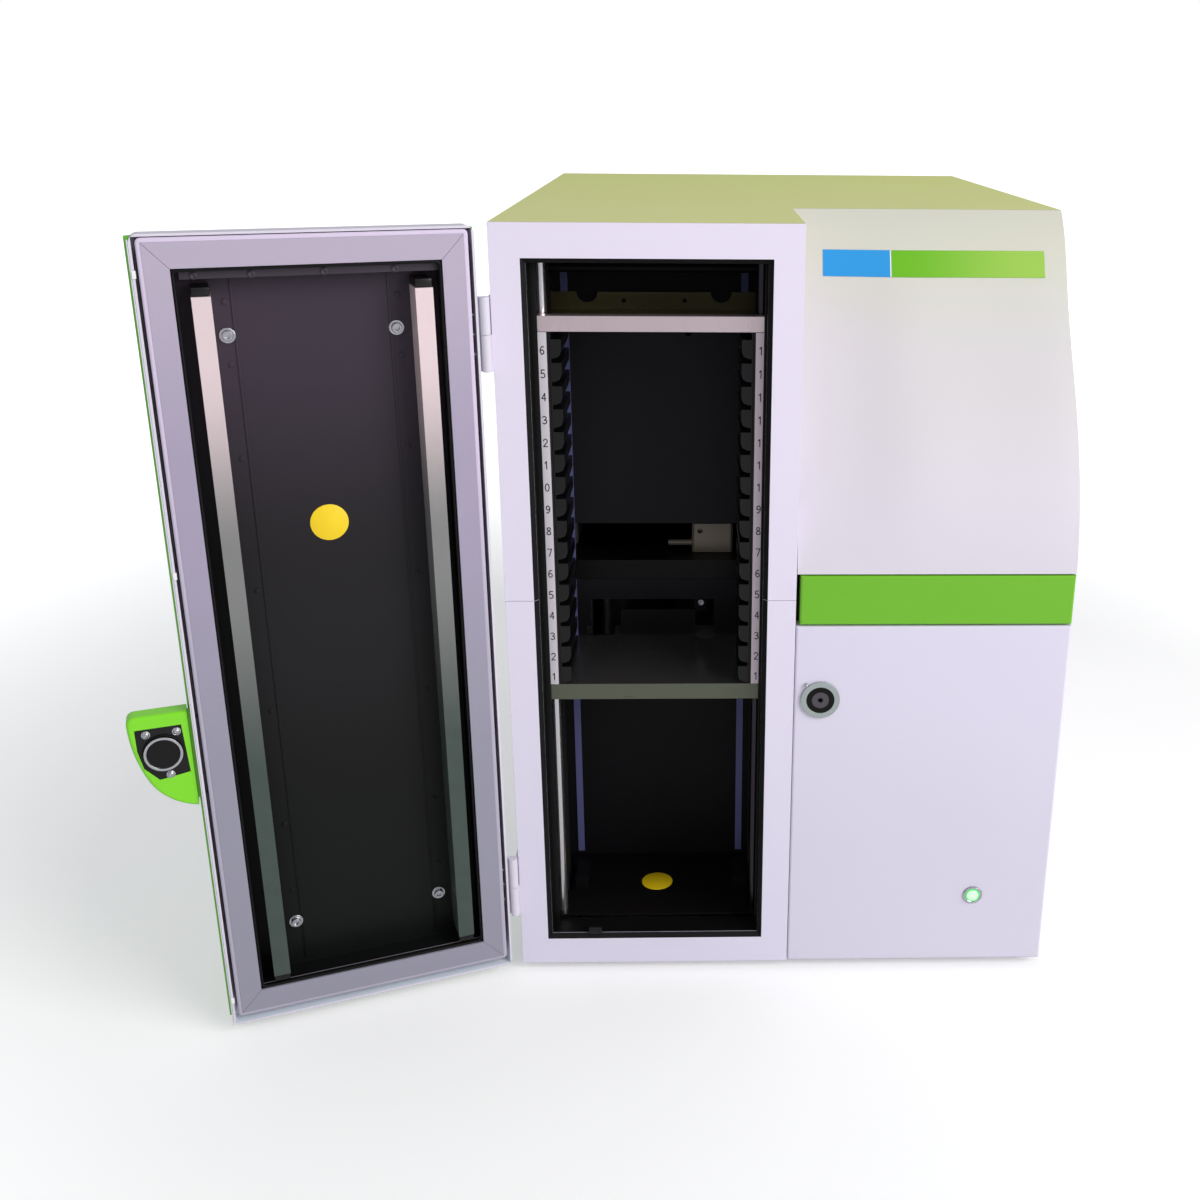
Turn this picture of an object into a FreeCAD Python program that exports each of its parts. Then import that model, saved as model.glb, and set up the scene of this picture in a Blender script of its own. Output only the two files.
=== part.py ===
# A microplate scintillation counter for the bench: a tower with a lift magazine for
# sixteen plate cassettes behind a hinged door, and an electronics bay beside it.
# Lengths are millimetres. +X is to the user's right, +Y is away from the user, +Z is up,
# and the origin is the centre of the base tray's underside.

import FreeCAD, Part
import math
import os
import re

import Sketcher
from FreeCAD import Placement, Rotation, Vector

doc = FreeCAD.newDocument("microplate_scintillation_counter")
sheet = doc.addObject("Spreadsheet::Sheet", "dim")

sizes = {
    # the cabinet
    "cabinet_width": 500,
    "cabinet_depth": 690,
    "cabinet_height": 695,
    "tower_width": 254,
    "panel_wall": 2,
    "tray_flange": 24,
    "foot_height": 8,
    "foot_radius": 20,
    "foot_inset": 55,
    "cover_lip": 3,
    # the front of the tower
    "bezel_depth": 16,
    "split_gap": 0.4,
    "bezel_round": 2,
    "opening_bottom": 31,
    "bezel_head": 32,
    "opening_chamfer": 4,
    "opening_land": 0.5,
    "trim_wall": 3,
    "trim_depth": 24,
    "plate_clearance": 0.3,
    # the hood, the band and the lower panel
    "cover_gap": 0.6,
    "cover_wall": 3,
    "panel_height": 348.5,
    "panel_band_gap": 1.5,
    "band_height": 46,
    "band_gap": 3,
    "band_hood_gap": 1.4,
    "hood_knee_depth": 51.9,
    "hood_knee_drop": 154.2,
    "hood_brow_depth": 105.3,
    "hood_brow_drop": 74.8,
    "hood_crest_depth": 138.6,
    "hood_crest_drop": 16.8,
    "hood_depth": 154.5,
    "hood_fold": 12,
    # the magnet lock, the sensor pin and the button
    "lock_side": 24,
    "lock_height": 278,
    "lock_radius": 17.5,
    "lock_cavity": 12.7,
    "lock_core": 7.7,
    "lock_bore": 2.3,
    "lock_proud": 2.5,
    "lock_back": 3,
    "pin_side": 11,
    "pin_rise": 14.6,
    "pin_radius": 1.45,
    "pin_proud": 4,
    "pin_travel": 3,
    "button_side": 69.8,
    "button_height": 72.1,
    "button_radius": 7.3,
    "button_proud": 1.5,
    "button_travel": 2.5,
    "sleeve_wall": 2,
    "running_fit": 0.06,
    # the stacker compartment
    "stack_shift": 2,
    "liner_width": 206,
    "liner_wall": 1.5,
    "ceiling_rise": 3.3,
    "rear_wall_depth": 138,
    "floor_height": 35,
    "slot_bottom": 363.4,
    "slot_height": 37.1,
    "slot_width": 158,
    "shelf_width": 161.5,
    "shelf_lip": 19.4,
    "shelf_length": 420,
    "keyhole_shift": 30.5,
    "keyhole_drop": 81.3,
    "keyhole_radius": 3.5,
    "cutout_reach_left": 65.6,
    "cutout_reach_right": 55.7,
    "cutout_drop": 41.2,
    "cutout_height": 28.1,
    "toe_height": 10.1,
    "toe_reach_left": 70.4,
    "toe_reach_right": 42.4,
    "island_reach_left": 36.3,
    "island_reach_right": 37.3,
    "island_height": 16.9,
    "strip_spread": 82.2,
    "strip_width": 6.6,
    "strip_wall": 1.2,
    "strip_foot": 4.5,
    "strip_head": 11.3,
    "column_spread": 93,
    "column_radius": 5,
    "column_depth": 38,
    # the lift magazine
    "magazine_front": 20,
    "top_plate_gap": 3.4,
    "magazine_sheet": 1.5,
    "tray_height": 15.1,
    "tray_width": 191,
    "tray_depth": 115.5,
    "tray_notch_spread": 46.6,
    "tray_notch_radius": 9,
    "magazine_drop": 58,
    "bar_height": 13,
    "bar_width": 189.2,
    "bar_depth": 12,
    "top_plate_wall": 3,
    "top_plate_width": 193.5,
    "top_plate_depth": 105,
    "upstand_height": 15.5,
    "upstand_notch_spread": 60.5,
    "upstand_notch_radius": 9.5,
    "upstand_hole_spread": 27.5,
    "upstand_hole_radius": 2,
    "side_plate_spread": 85.5,
    "side_flange": 7,
    "magazine_room": 4,
    "plate_count": 16,
    "plate_pitch": 19.8,
    "ledge_height": 16,
    "ledge_width": 10,
    "ledge_round": 6,
    "ledge_depth": 95,
    "ledge_start": 0.5,
    "rack_wall": 1.5,
    "bushing_height": 19,
    "bushing_depth": 13,
    # the lift drive
    "shaft_depth": 82,
    "shaft_height": 22,
    "idler_drop": 16.3,
    "shaft_radius": 4,
    "pulley_radius": 9,
    "pulley_width": 6.5,
    "pulley_spread": 92.75,
    "belt_wall": 1.2,
    "belt_width": 6.1,
    "belt_gap": 0.1,
    "bracket_reach_left": 83.3,
    "bracket_width": 12.9,
    "bracket_reach_right": 74,
    "bracket_right_width": 15,
    "bracket_depth": 30,
    "bracket_lead": 9,
    "bracket_top": 48,
    "idler_block": 16,
    "idler_block_wall": 5,
    "motor_size": 42,
    "motor_length": 40,
    "motor_side": 16,
    "coupling_radius": 8,
    "coupling_length": 12,
    "motor_shaft_radius": 2.5,
    # the detector and the plate carriage
    "detector_width": 178,
    "detector_setback": 52,
    "detector_length": 280,
    "base_thickness": 22,
    "leg_width": 20,
    "head_rise": 76.6,
    "roof_rise": 36.6,
    "tube_radius": 18.9,
    "tube_bore_gap": 0.1,
    "tube_can_radius": 24,
    "tube_length": 120,
    "tube_spread": 39,
    "tube_pitch": 90,
    "carriage_shift": 34,
    "carriage_width": 40,
    "carriage_setback": 20,
    "carriage_plate": 17,
    "carriage_height": 29.5,
    "carriage_lift": 0.6,
    "carriage_arm": 10,
    "slider_front": 300,
    "slider_length": 40,
    "rail_shift": 61,
    "rail_rise": 14.6,
    "rail_radius": 4,
    "rail_front": 184,
    "rail_length": 304,
    "rail_block": 8,
    "finger_length": 23.6,
    "finger_rise": 8.3,
    "finger_radius": 3,
    # the electronics bay and the rear panel
    "supply_side": 80,
    "supply_width": 120,
    "supply_gap": 4,
    "supply_depth": 200,
    "supply_height": 90,
    "board_side": 26,
    "board_margin": 40,
    "board_front": 140,
    "board_gap": 22,
    "board_wall": 1.6,
    "board_standoff": 8,
    "card_height": 170,
    "card_count": 4,
    "fan_side": 140,
    "fan_drop": 135,
    "fan_frame": 92,
    "fan_depth": 26,
    "fan_bore": 42,
    "fan_hub": 17,
    "fan_blade": 40,
    "fan_blades": 7,
    "fan_strut": 8,
    "fan_strut_depth": 3,
    "fan_pin_radius": 3,
    "fan_pin_length": 12,
    "fan_clearance": 1,
    "fan_blade_wall": 2.5,
    "grille_slots": 7,
    "grille_pitch": 11,
    "grille_slot": 5,
    "inlet_side": 60,
    "inlet_height": 90,
    "inlet_width": 54,
    "inlet_tall": 66,
    "inlet_flange": 2.5,
    "inlet_depth": 24,
    "socket_width": 24,
    "socket_tall": 16,
    "socket_depth": 18,
    "rocker_width": 20,
    "rocker_tall": 14,
    "rocker_rise": 16,
    "rocker_tilt_angle": 10,
    "rocker_gap": 1,
    "rocker_pivot": 5,
    "rocker_pin": 1.2,
    # the door, in its own frame: across from the hinge axis, into the cabinet when closed
    "hinge_across": 4.5,
    "hinge_front": 3,
    "door_open_angle": 160,
    "rim_left_inset": 1,
    "rim_right_inset": 1.5,
    "rim_bottom": 3.5,
    "rim_head": 2,
    "rim_face": 1,
    "rim_wall": 2,
    "rim_round": 7,
    "door_edge": 18,
    "channel_depth": 15,
    "gasket_left_inset": 8.5,
    "gasket_right_inset": 8,
    "gasket_foot": 12.5,
    "gasket_head": 6,
    "gasket_side": 18,
    "gasket_end": 19.5,
    "gasket_wall": 2,
    "gasket_clearance": 0.3,
    "mitre_gap": 0.3,
    "pan_floor": 27,
    "pan_wall": 2,
    "outer_left_reach": 1.5,
    "outer_right_reach": 1.8,
    "outer_bottom": 2,
    "outer_head": 5,
    "outer_crown": 46,
    "outer_shoulder": 39,
    "outer_flank": 28,
    "outer_turn": 12.4,
    "outer_turn_drop": 15.7,
    "outer_lip": 5,
    "outer_wall": 2,
    "strip_left_inset": 8.5,
    "strip_right_inset": 12,
    "pusher_width": 14,
    "pusher_foot": 11.1,
    "pusher_head": 21.3,
    "clamp_height": 9,
    "clamp_end": 5.5,
    "clamp_face": 5,
    "clamp_wall": 2,
    "handle_rise": 34,
    "handle_fall": 53.4,
    "handle_margin": 25,
    "handle_face": 3,
    "handle_round": 3,
    "handle_gap": 0.7,
    "handle_corner": 6.5,
    "handle_heel_angle": 12,
    "insert_depth": 2,
    "armature_radius": 15,
    "armature_bore": 13,
    "knuckle_radius": 4,
    "hinge_pin_radius": 2,
    "hinge_leaf": 2,
    "leaf_reach": 28,
    "door_leaf_reach": 15,
    "upper_hinge_drop": 119.3,
    "lower_hinge": 56.9,
    "hinge_length": 61,
    "knuckle_gap": 0.3,
}

# what follows from the sizes above
derived = {
    "opening_width": "2 * (side_plate_spread + magazine_sheet + side_flange + magazine_room)",
    "opening_left": "(tower_width - opening_width) / 2",
    "opening_right": "opening_left + opening_width",
    "opening_top": "cabinet_height - bezel_head",
    "band_bottom": "panel_height + panel_band_gap",
    "band_top": "band_bottom + band_height",
    "bezel_split": "band_bottom + band_height / 2",
    "hood_bottom": "band_top + band_hood_gap",
    "hood_knee_height": "cabinet_height - hood_knee_drop",
    "hood_brow_height": "cabinet_height - hood_brow_drop",
    "hood_crest_height": "cabinet_height - hood_crest_drop",
    "lock_across": "tower_width + lock_side",
    "pin_across": "tower_width + pin_side",
    "pin_height": "lock_height + pin_rise",
    "button_across": "cabinet_width - button_side",
    "stack_centre": "tower_width / 2 + stack_shift",
    "liner_ceiling": "opening_top + ceiling_rise",
    "keyhole_across": "stack_centre + keyhole_shift",
    "keyhole_height": "liner_ceiling - keyhole_drop",
    "cutout_left": "stack_centre - cutout_reach_left",
    "cutout_right": "stack_centre + cutout_reach_right",
    "cutout_top": "slot_bottom - cutout_drop",
    "cutout_foot": "cutout_top - cutout_height",
    "cutout_toe": "cutout_foot - toe_height",
    "cutout_toe_left": "stack_centre - toe_reach_left",
    "cutout_toe_right": "stack_centre - toe_reach_right",
    "island_left": "stack_centre - island_reach_left",
    "island_right": "stack_centre + island_reach_right",
    "island_top": "cutout_foot + island_height",
    "strip_bottom": "floor_height + strip_foot",
    "strip_top": "liner_ceiling - strip_head",
    "bar_bottom": "opening_top - magazine_drop",
    "magazine_bottom": "bar_bottom - top_plate_gap - plate_count * plate_pitch - tray_height",
    "idler_height": "liner_ceiling - idler_drop",
    "bracket_left": "stack_centre - bracket_reach_left",
    "bracket_right": "stack_centre + bracket_reach_right",
    "bracket_front": "shaft_depth - bracket_lead",
    "motor_start": "tower_width + motor_side",
    "detector_front": "rear_wall_depth + detector_setback",
    "head_top": "slot_bottom + head_rise",
    "head_roof": "slot_bottom + roof_rise",
    "carriage_left": "stack_centre + carriage_shift",
    "carriage_front": "rear_wall_depth + carriage_setback",
    "carriage_low": "slot_bottom + carriage_lift",
    "carriage_top": "carriage_low + carriage_height",
    "rail_across": "stack_centre + rail_shift",
    "rail_height": "slot_bottom + rail_rise",
    "finger_height": "slot_bottom + finger_rise",
    "supply_left": "cabinet_width - supply_side - supply_width",
    "supply_front": "cabinet_depth - inlet_depth - supply_gap - supply_depth",
    "board_left": "tower_width + board_side",
    "board_width": "cabinet_width - board_margin - board_left",
    "board_depth": "supply_front - board_gap - board_front",
    "fan_across": "cabinet_width - fan_side",
    "fan_height": "cabinet_height - fan_drop",
    "inlet_across": "cabinet_width - inlet_side",
    "rim_left": "hinge_across + rim_left_inset",
    "rim_right": "tower_width + hinge_across - rim_right_inset",
    "rim_top": "cabinet_height - rim_head",
    "gasket_left": "rim_left + gasket_left_inset",
    "gasket_right": "rim_right - gasket_right_inset",
    "gasket_bottom": "rim_bottom + gasket_foot",
    "gasket_top": "rim_top - gasket_head",
    "outer_left": "hinge_across - outer_left_reach",
    "outer_right": "tower_width + hinge_across + outer_right_reach",
    "outer_top": "cabinet_height - outer_head",
    "strip_left": "gasket_left + gasket_side + strip_left_inset",
    "strip_right": "gasket_right - gasket_side - strip_right_inset - pusher_width",
    "pusher_bottom": "gasket_bottom + gasket_end + pusher_foot",
    "pusher_top": "gasket_top - gasket_end - pusher_head",
    "clamp_bottom": "gasket_top - gasket_end - clamp_height",
    "clamp_right": "gasket_right - gasket_side - clamp_end",
    "handle_top": "lock_height + handle_rise",
    "handle_bottom": "lock_height - handle_fall",
    "handle_reach": "lock_across + hinge_across + handle_margin",
    "upper_hinge": "cabinet_height - upper_hinge_drop",
}

for row, (name, length) in enumerate(sizes.items(), 1):
    sheet.set(f"A{row}", name)
    sheet.set(f"B{row}", str(length))
    sheet.setAlias(f"B{row}", name)
doc.recompute()


def bound(formula):
    # a formula whose named sizes are cells of the sheet
    def cell(word):
        name = word.group()
        if name in derived:
            return f"({bound(derived[name])})"
        return "dim." + name if name in sizes else name

    return re.sub(r"[a-z][a-z_]+", cell, str(formula))


def number(formula):
    return float(sheet.evalExpression(bound(formula)))


def new_body(label):
    body = doc.addObject("PartDesign::Body", label)
    body.AllowCompound = True
    return body


def carried(body):
    # drawn from the cabinet's lower left front corner
    body.setExpression("Placement.Base.x", bound("-cabinet_width / 2"))
    body.setExpression("Placement.Base.y", bound("-cabinet_depth / 2"))
    return body


def hung(body):
    # drawn from the hinge axis with the door closed, then swung open
    body.Placement = Placement(Vector(0, 0, 0), Rotation(Vector(0, 0, 1), -number("door_open_angle")))
    body.setExpression("Placement.Base.x", bound("-cabinet_width / 2 - hinge_across"))
    body.setExpression("Placement.Base.y", bound("-cabinet_depth / 2 - hinge_front"))
    return body


def sketch_on(body, plane, shift=("0", "0"), level="0"):
    sketch = body.newObject("Sketcher::SketchObject", body.Name + "_outline")
    role = [one for one in body.Origin.OriginFeatures if one.Role == plane + "_Plane"]
    sketch.AttachmentSupport = (role[0], [""])
    sketch.MapMode = "FlatFace"
    sense = "-1" if plane == "XZ" else "1"
    sketch.setExpression("AttachmentOffset.Base.x", bound(shift[0]))
    sketch.setExpression("AttachmentOffset.Base.y", bound(shift[1]))
    sketch.setExpression("AttachmentOffset.Base.z", bound(f"{sense} * ({level})"))
    return sketch


def bind(sketch, kind, item, point, formula):
    held = sketch.addConstraint(Sketcher.Constraint(kind, item, point, number(formula)))
    sketch.setExpression(f"Constraints[{held}]", bound(formula))


def draw(sketch, corners):
    # a closed outline of straight lines through the given corners
    first = sketch.GeometryCount
    spots = [Vector(number(x), number(y), 0) for x, y in corners]
    for order, spot in enumerate(spots):
        sketch.addGeometry(Part.LineSegment(spot, spots[(order + 1) % len(spots)]), False)
    for order, (x, y) in enumerate(corners):
        after = first + (order + 1) % len(corners)
        sketch.addConstraint(Sketcher.Constraint("Coincident", first + order, 2, after, 1))
        bind(sketch, "DistanceX", first + order, 1, x)
        bind(sketch, "DistanceY", first + order, 1, y)


def rectangle(left, right, low, high):
    return [(left, low), (right, low), (right, high), (left, high)]


def draw_circle(sketch, x, y, radius):
    item = sketch.addGeometry(Part.Circle(Vector(number(x), number(y), 0), Vector(0, 0, 1),
                                          number(radius)), False)
    bind(sketch, "DistanceX", item, 3, x)
    bind(sketch, "DistanceY", item, 3, y)
    held = sketch.addConstraint(Sketcher.Constraint("Radius", item, number(radius)))
    sketch.setExpression(f"Constraints[{held}]", bound(radius))


def draw_path(sketch, runs):
    # a closed outline of lines through two points, arcs through a tuple of three, and
    # smooth curves through a list of points
    for run in runs:
        if len(run) == 2:
            sketch.addGeometry(Part.LineSegment(run[0], run[1]), False)
        elif isinstance(run, tuple):
            sketch.addGeometry(Part.Arc(*run), False)
        else:
            curve = Part.BSplineCurve()
            curve.interpolate(run)
            sketch.addGeometry(curve, False)
    # an arc is stored anticlockwise, so one drawn the other way has its ends swapped
    ends = [(2, 1) if isinstance(run, tuple)
            and (run[1] - run[0]).cross(run[2] - run[1]).z < 0 else (1, 2) for run in runs]
    for order in range(len(runs)):
        after = (order + 1) % len(runs)
        sketch.addConstraint(Sketcher.Constraint("Coincident", order, ends[order][1],
                                                 after, ends[after][0]))
        sketch.addConstraint(Sketcher.Constraint("Block", order))


def extrude(body, plane, span, outlines=(), circles=(), cut=False, path=None):
    # a pad, or a pocket when cut, from one level to a higher one
    start, stop = span
    sketch = sketch_on(body, plane, level=start)
    for corners in outlines:
        draw(sketch, corners)
    for x, y, radius in circles:
        draw_circle(sketch, x, y, radius)
    if path:
        draw_path(sketch, path)
    before = body.Tip.Shape.Volume if cut else 0
    kind = "Pocket" if cut else "Pad"
    feature = body.newObject("PartDesign::" + kind, body.Name + "_" + kind.lower())
    feature.Profile = sketch
    feature.setExpression("Length", bound(f"({stop}) - ({start})"))
    feature.Reversed = (plane == "XZ") != cut
    doc.recompute()
    if cut and not feature.Shape.Volume < before - 0.01:
        raise SystemExit(f"{body.Label}: a pocket removed nothing")
    return feature


def turn(body, axis, centre, corners, cut=False):
    # a turned piece about an axis through the centre, drawn as (distance, along)
    x, y, z = centre
    if axis == "Z":
        sketch = sketch_on(body, "XZ", (x, z), y)
    else:
        sketch = sketch_on(body, "XY", (x, y), z)
    draw(sketch, corners)
    kind = "Groove" if cut else "Revolution"
    feature = body.newObject("PartDesign::" + kind, body.Name + "_turned")
    feature.Profile = sketch
    feature.ReferenceAxis = (sketch, ["H_Axis" if axis == "X" else "V_Axis"])
    feature.Angle = 360
    doc.recompute()
    return feature


def straight_edges(body, axis, **places):
    # the names of the edges along one axis whose middle lies at the given places
    names = []
    for order, edge in enumerate(body.Tip.Shape.Edges, 1):
        if edge.Curve.TypeId != "Part::GeomLine":
            continue
        if abs(getattr(edge.tangentAt(edge.FirstParameter), axis)) < 0.999:
            continue
        middle = edge.CenterOfMass
        wanted = [(getattr(middle, key), texts) for key, texts in places.items()]
        if all(any(abs(at - number(text)) < 0.02 for text in texts) for at, texts in wanted):
            names.append(f"Edge{order}")
    return names


def soften(body, kind, length, names):
    base = body.Tip
    feature = body.newObject("PartDesign::" + kind, body.Name + "_" + kind.lower())
    feature.Base = (base, names)
    feature.setExpression("Radius" if kind == "Fillet" else "Size", bound(length))
    body.Tip = feature
    doc.recompute()
    return feature


def repeat(body, features, axis, count, pitch):
    # a row of copies along one axis of the body
    pattern = body.newObject("PartDesign::LinearPattern", body.Name + "_row")
    pattern.Originals = features
    role = [one for one in body.Origin.OriginFeatures if one.Role == axis + "_Axis"]
    pattern.Direction = (role[0], [""])
    pattern.setExpression("Occurrences", bound(count))
    pattern.setExpression("Length", bound(f"({pitch}) * (({count}) - 1)"))
    body.Tip = pattern
    doc.recompute()
    return pattern


def slab(label, plane, span, outlines=(), circles=(), place=carried):
    body = place(new_body(label))
    extrude(body, plane, span, outlines, circles)
    return body


# formulas that several pieces share
trim_left = "opening_left - trim_wall"
trim_front = "opening_chamfer + opening_land"
trim_right = "opening_right + trim_wall"
trim_low = "opening_bottom - trim_wall"
trim_high = "opening_top + trim_wall"
cover_left = "tower_width + cover_gap"
inner_top = "cabinet_height - panel_wall"
inner_right = "cabinet_width - panel_wall"
wall_back = "bezel_depth + panel_wall"
rear_face = "cabinet_depth - panel_wall"
liner_left = "stack_centre - liner_width / 2"
liner_right = "stack_centre + liner_width / 2"


def both(inner, outer):
    # two rectangles' sides, one on each side of the stack's centre line
    return [(f"stack_centre - ({outer})", f"stack_centre - ({inner})"),
            (f"stack_centre + ({inner})", f"stack_centre + ({outer})")]

# the base tray with its upturned flanges, and the four feet under it
base_tray = slab("base_tray", "XY", ("0", "tray_flange"),
                 [rectangle("panel_wall", inner_right, wall_back, rear_face)])
extrude(base_tray, "XY", ("panel_wall", "tray_flange + 1"),
        [rectangle("2 * panel_wall", f"{inner_right} - panel_wall", f"{wall_back} + panel_wall",
                   f"{rear_face} - panel_wall")], cut=True)

rubber_feet = carried(new_body("rubber_feet"))
first_foot = turn(rubber_feet, "Z", ("foot_inset", "foot_inset", "0"),
                  [("0", "-foot_height"), ("foot_radius - 2", "-foot_height"),
                   ("foot_radius", "0"), ("0", "0")])
foot_row = repeat(rubber_feet, [first_foot], "X", "2", "cabinet_width - 2 * foot_inset")
foot_depth = "cabinet_depth - 2 * foot_inset"
turn(rubber_feet, "Z", ("foot_inset", f"foot_inset + {foot_depth}", "0"),
     [("0", "-foot_height"), ("foot_radius - 2", "-foot_height"),
      ("foot_radius", "0"), ("0", "0")])
turn(rubber_feet, "Z", ("cabinet_width - foot_inset", f"foot_inset + {foot_depth}", "0"),
     [("0", "-foot_height"), ("foot_radius - 2", "-foot_height"),
      ("foot_radius", "0"), ("0", "0")])

# the hood's section: its outer curve, and one set in from it
hood_points = [("cover_gap", "hood_bottom"), ("hood_knee_depth", "hood_knee_height"),
               ("hood_brow_depth", "hood_brow_height"),
               ("hood_crest_depth", "hood_crest_height"), ("hood_depth", "cabinet_height")]


def hood_curve(fold, inset):
    spots = [Vector(number(y), number(z), 0) for y, z in hood_points]
    # the fold draws the surface back between its two ends
    low, high = spots[0].y, spots[-1].y
    for spot in spots:
        spot.x += fold * math.sin(math.pi * (spot.y - low) / (high - low))
    curve = Part.BSplineCurve()
    curve.interpolate(spots)
    run = []
    for spot in spots:
        at = curve.parameter(spot)
        forward = curve.tangent(at)[0]
        run.append(spot + Vector(forward.y, -forward.x, 0) * inset)
    return run


left_side_panel = slab("left_side_panel", "YZ", ("0", "panel_wall"),
                       [rectangle("bezel_depth", "cabinet_depth", "0", inner_top)])

# the right side panel follows the hood from inside
right_side_panel = carried(new_body("right_side_panel"))
inside = hood_curve(0, number("cover_wall + plate_clearance"))
inside[0] = Vector(inside[0].x, number("hood_bottom"), 0)
inside[-1] = Vector(inside[-1].x, number(inner_top), 0)
front = number("bezel_depth + plate_clearance")
back = number("cabinet_depth")
corners = [inside[-1], Vector(back, number(inner_top), 0), Vector(back, 0, 0),
           Vector(front, 0, 0), Vector(front, inside[0].y, 0), inside[0]]
extrude(right_side_panel, "YZ", (inner_right, "cabinet_width"),
        path=[inside] + [[start, stop] for start, stop in zip(corners, corners[1:])])

# the tower's inner side, seen above the hood, with a hole for the drive shaft
tray_front = f"{wall_back} + panel_wall"
tray_back_edge = f"{rear_face} - panel_wall"
tower_side_panel = slab(
    "tower_side_panel", "YZ", ("tower_width - panel_wall", "tower_width"),
    [[(tray_front, "panel_wall"), (tray_back_edge, "panel_wall"),
      (tray_back_edge, "tray_flange"), (rear_face, "tray_flange"), (rear_face, inner_top),
      (wall_back, inner_top), (wall_back, "tray_flange"), (tray_front, "tray_flange")]])
extrude(tower_side_panel, "YZ", ("tower_width - panel_wall - 1", "tower_width + 1"),
        circles=[("shaft_depth", "shaft_height", "coupling_radius + 2")], cut=True)

top_cover = slab("top_cover", "XY", (inner_top, "cabinet_height"),
                 [[("0", "cover_lip"), ("tower_width", "cover_lip"),
                   ("tower_width", "hood_depth"), ("cabinet_width", "hood_depth"),
                   ("cabinet_width", "cabinet_depth"), ("0", "cabinet_depth")]])

# the two bezels, each half of the frame round the opening
def bezel(label, outline, throat, edges):
    body = slab(label, "XZ", ("0", "bezel_depth"), [outline])
    names = []
    for axis, places in edges:
        names += straight_edges(body, axis, y=["0"], **places)
    soften(body, "Chamfer", "opening_chamfer", names)
    extrude(body, "XZ", (trim_front, "bezel_depth + 1"), [throat], cut=True)
    return body


upper_bezel = bezel(
    "upper_bezel",
    [("0", "bezel_split + split_gap"), ("opening_left", "bezel_split + split_gap"),
     ("opening_left", "opening_top"), ("opening_right", "opening_top"),
     ("opening_right", "bezel_split + split_gap"), ("tower_width", "bezel_split + split_gap"),
     ("tower_width", "cabinet_height"), ("0", "cabinet_height")],
    [(trim_left, "bezel_split"), (trim_right, "bezel_split"), (trim_right, trim_high),
     (trim_left, trim_high)],
    [("z", {"x": ["opening_left", "opening_right"]}), ("x", {"z": ["opening_top"]})])
extrude(upper_bezel, "XZ", ("cover_lip", "bezel_depth + 1"),
        [rectangle("-1", "tower_width + 1", inner_top, "cabinet_height + 1")], cut=True)

lower_bezel = bezel(
    "lower_bezel",
    [("0", "0"), ("tower_width", "0"), ("tower_width", "bezel_split"),
     ("opening_right", "bezel_split"), ("opening_right", "opening_bottom"),
     ("opening_left", "opening_bottom"), ("opening_left", "bezel_split"),
     ("0", "bezel_split")],
    [(trim_left, trim_low), (trim_right, trim_low), (trim_right, "bezel_split + 1"),
     (trim_left, "bezel_split + 1")],
    [("z", {"x": ["opening_left", "opening_right"]}), ("x", {"z": ["opening_bottom"]})])

# the black ring that lines the opening
opening_trim = slab("opening_trim", "XZ", (trim_front, f"{trim_front} + trim_depth"),
                    [rectangle(trim_left, trim_right, trim_low, trim_high),
                     rectangle("opening_left", "opening_right", "opening_bottom", "opening_top")])

# the steel front plate that carries the bezels and the lower covers
pin_reach = "bezel_depth - 0.5"
chassis_front_plate = slab(
    "chassis_front_plate", "XZ", ("bezel_depth", wall_back),
    [[("panel_wall", "panel_wall"), (inner_right, "panel_wall"),
      (inner_right, "band_top - 1"), ("tower_width - 0.5", "band_top - 1"),
      ("tower_width - 0.5", inner_top), ("panel_wall", inner_top)],
     rectangle(f"{trim_left} - plate_clearance", f"{trim_right} + plate_clearance",
               f"{trim_low} - plate_clearance", f"{trim_high} + plate_clearance")],
    [("pin_across", "pin_height", "pin_radius + 0.4")])

# the lofted hood: a thin shell whose left part folds back beside the tower
hood_cover = carried(new_body("hood_cover"))
hood_sketches = []
for share, fade in ((0, 1), (0.12, 0.8), (0.25, 0.4), (0.37, 0), (0.6, 0), (0.8, 0), (1, 0)):
    across = number(cover_left) + share * (number("cabinet_width") - number(cover_left))
    fold = number("hood_fold") * fade
    outer = hood_curve(fold, 0)
    inner = hood_curve(fold, number("cover_wall"))
    inner[0] = Vector(inner[0].x, outer[0].y, 0)
    inner[-1] = Vector(outer[-1].x, number("cabinet_height - cover_wall"), 0)
    section = sketch_on(hood_cover, "YZ", level=across)
    draw_path(section, [outer, [outer[-1], inner[-1]], inner[::-1], [inner[0], outer[0]]])
    hood_sketches.append(section)
doc.recompute()
hood_loft = hood_cover.newObject("PartDesign::AdditiveLoft", "hood_loft")
hood_loft.Profile = hood_sketches[0]
hood_loft.Sections = hood_sketches[1:]
doc.recompute()

# the green band and the lower panel, moulded shells with rounded front edges
def moulded(label, left, right, low, high):
    body = slab(label, "XZ", ("0", "bezel_depth"), [rectangle(left, right, low, high)])
    names = straight_edges(body, "x", y=["0"]) + straight_edges(body, "z", y=["0"])
    soften(body, "Fillet", "bezel_round", names)
    extrude(body, "XZ", ("cover_wall", "bezel_depth + 1"),
            [rectangle(f"{left} + cover_wall", f"{right} - cover_wall",
                       f"{low} + cover_wall", f"{high} - cover_wall")], cut=True)
    return body


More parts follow.
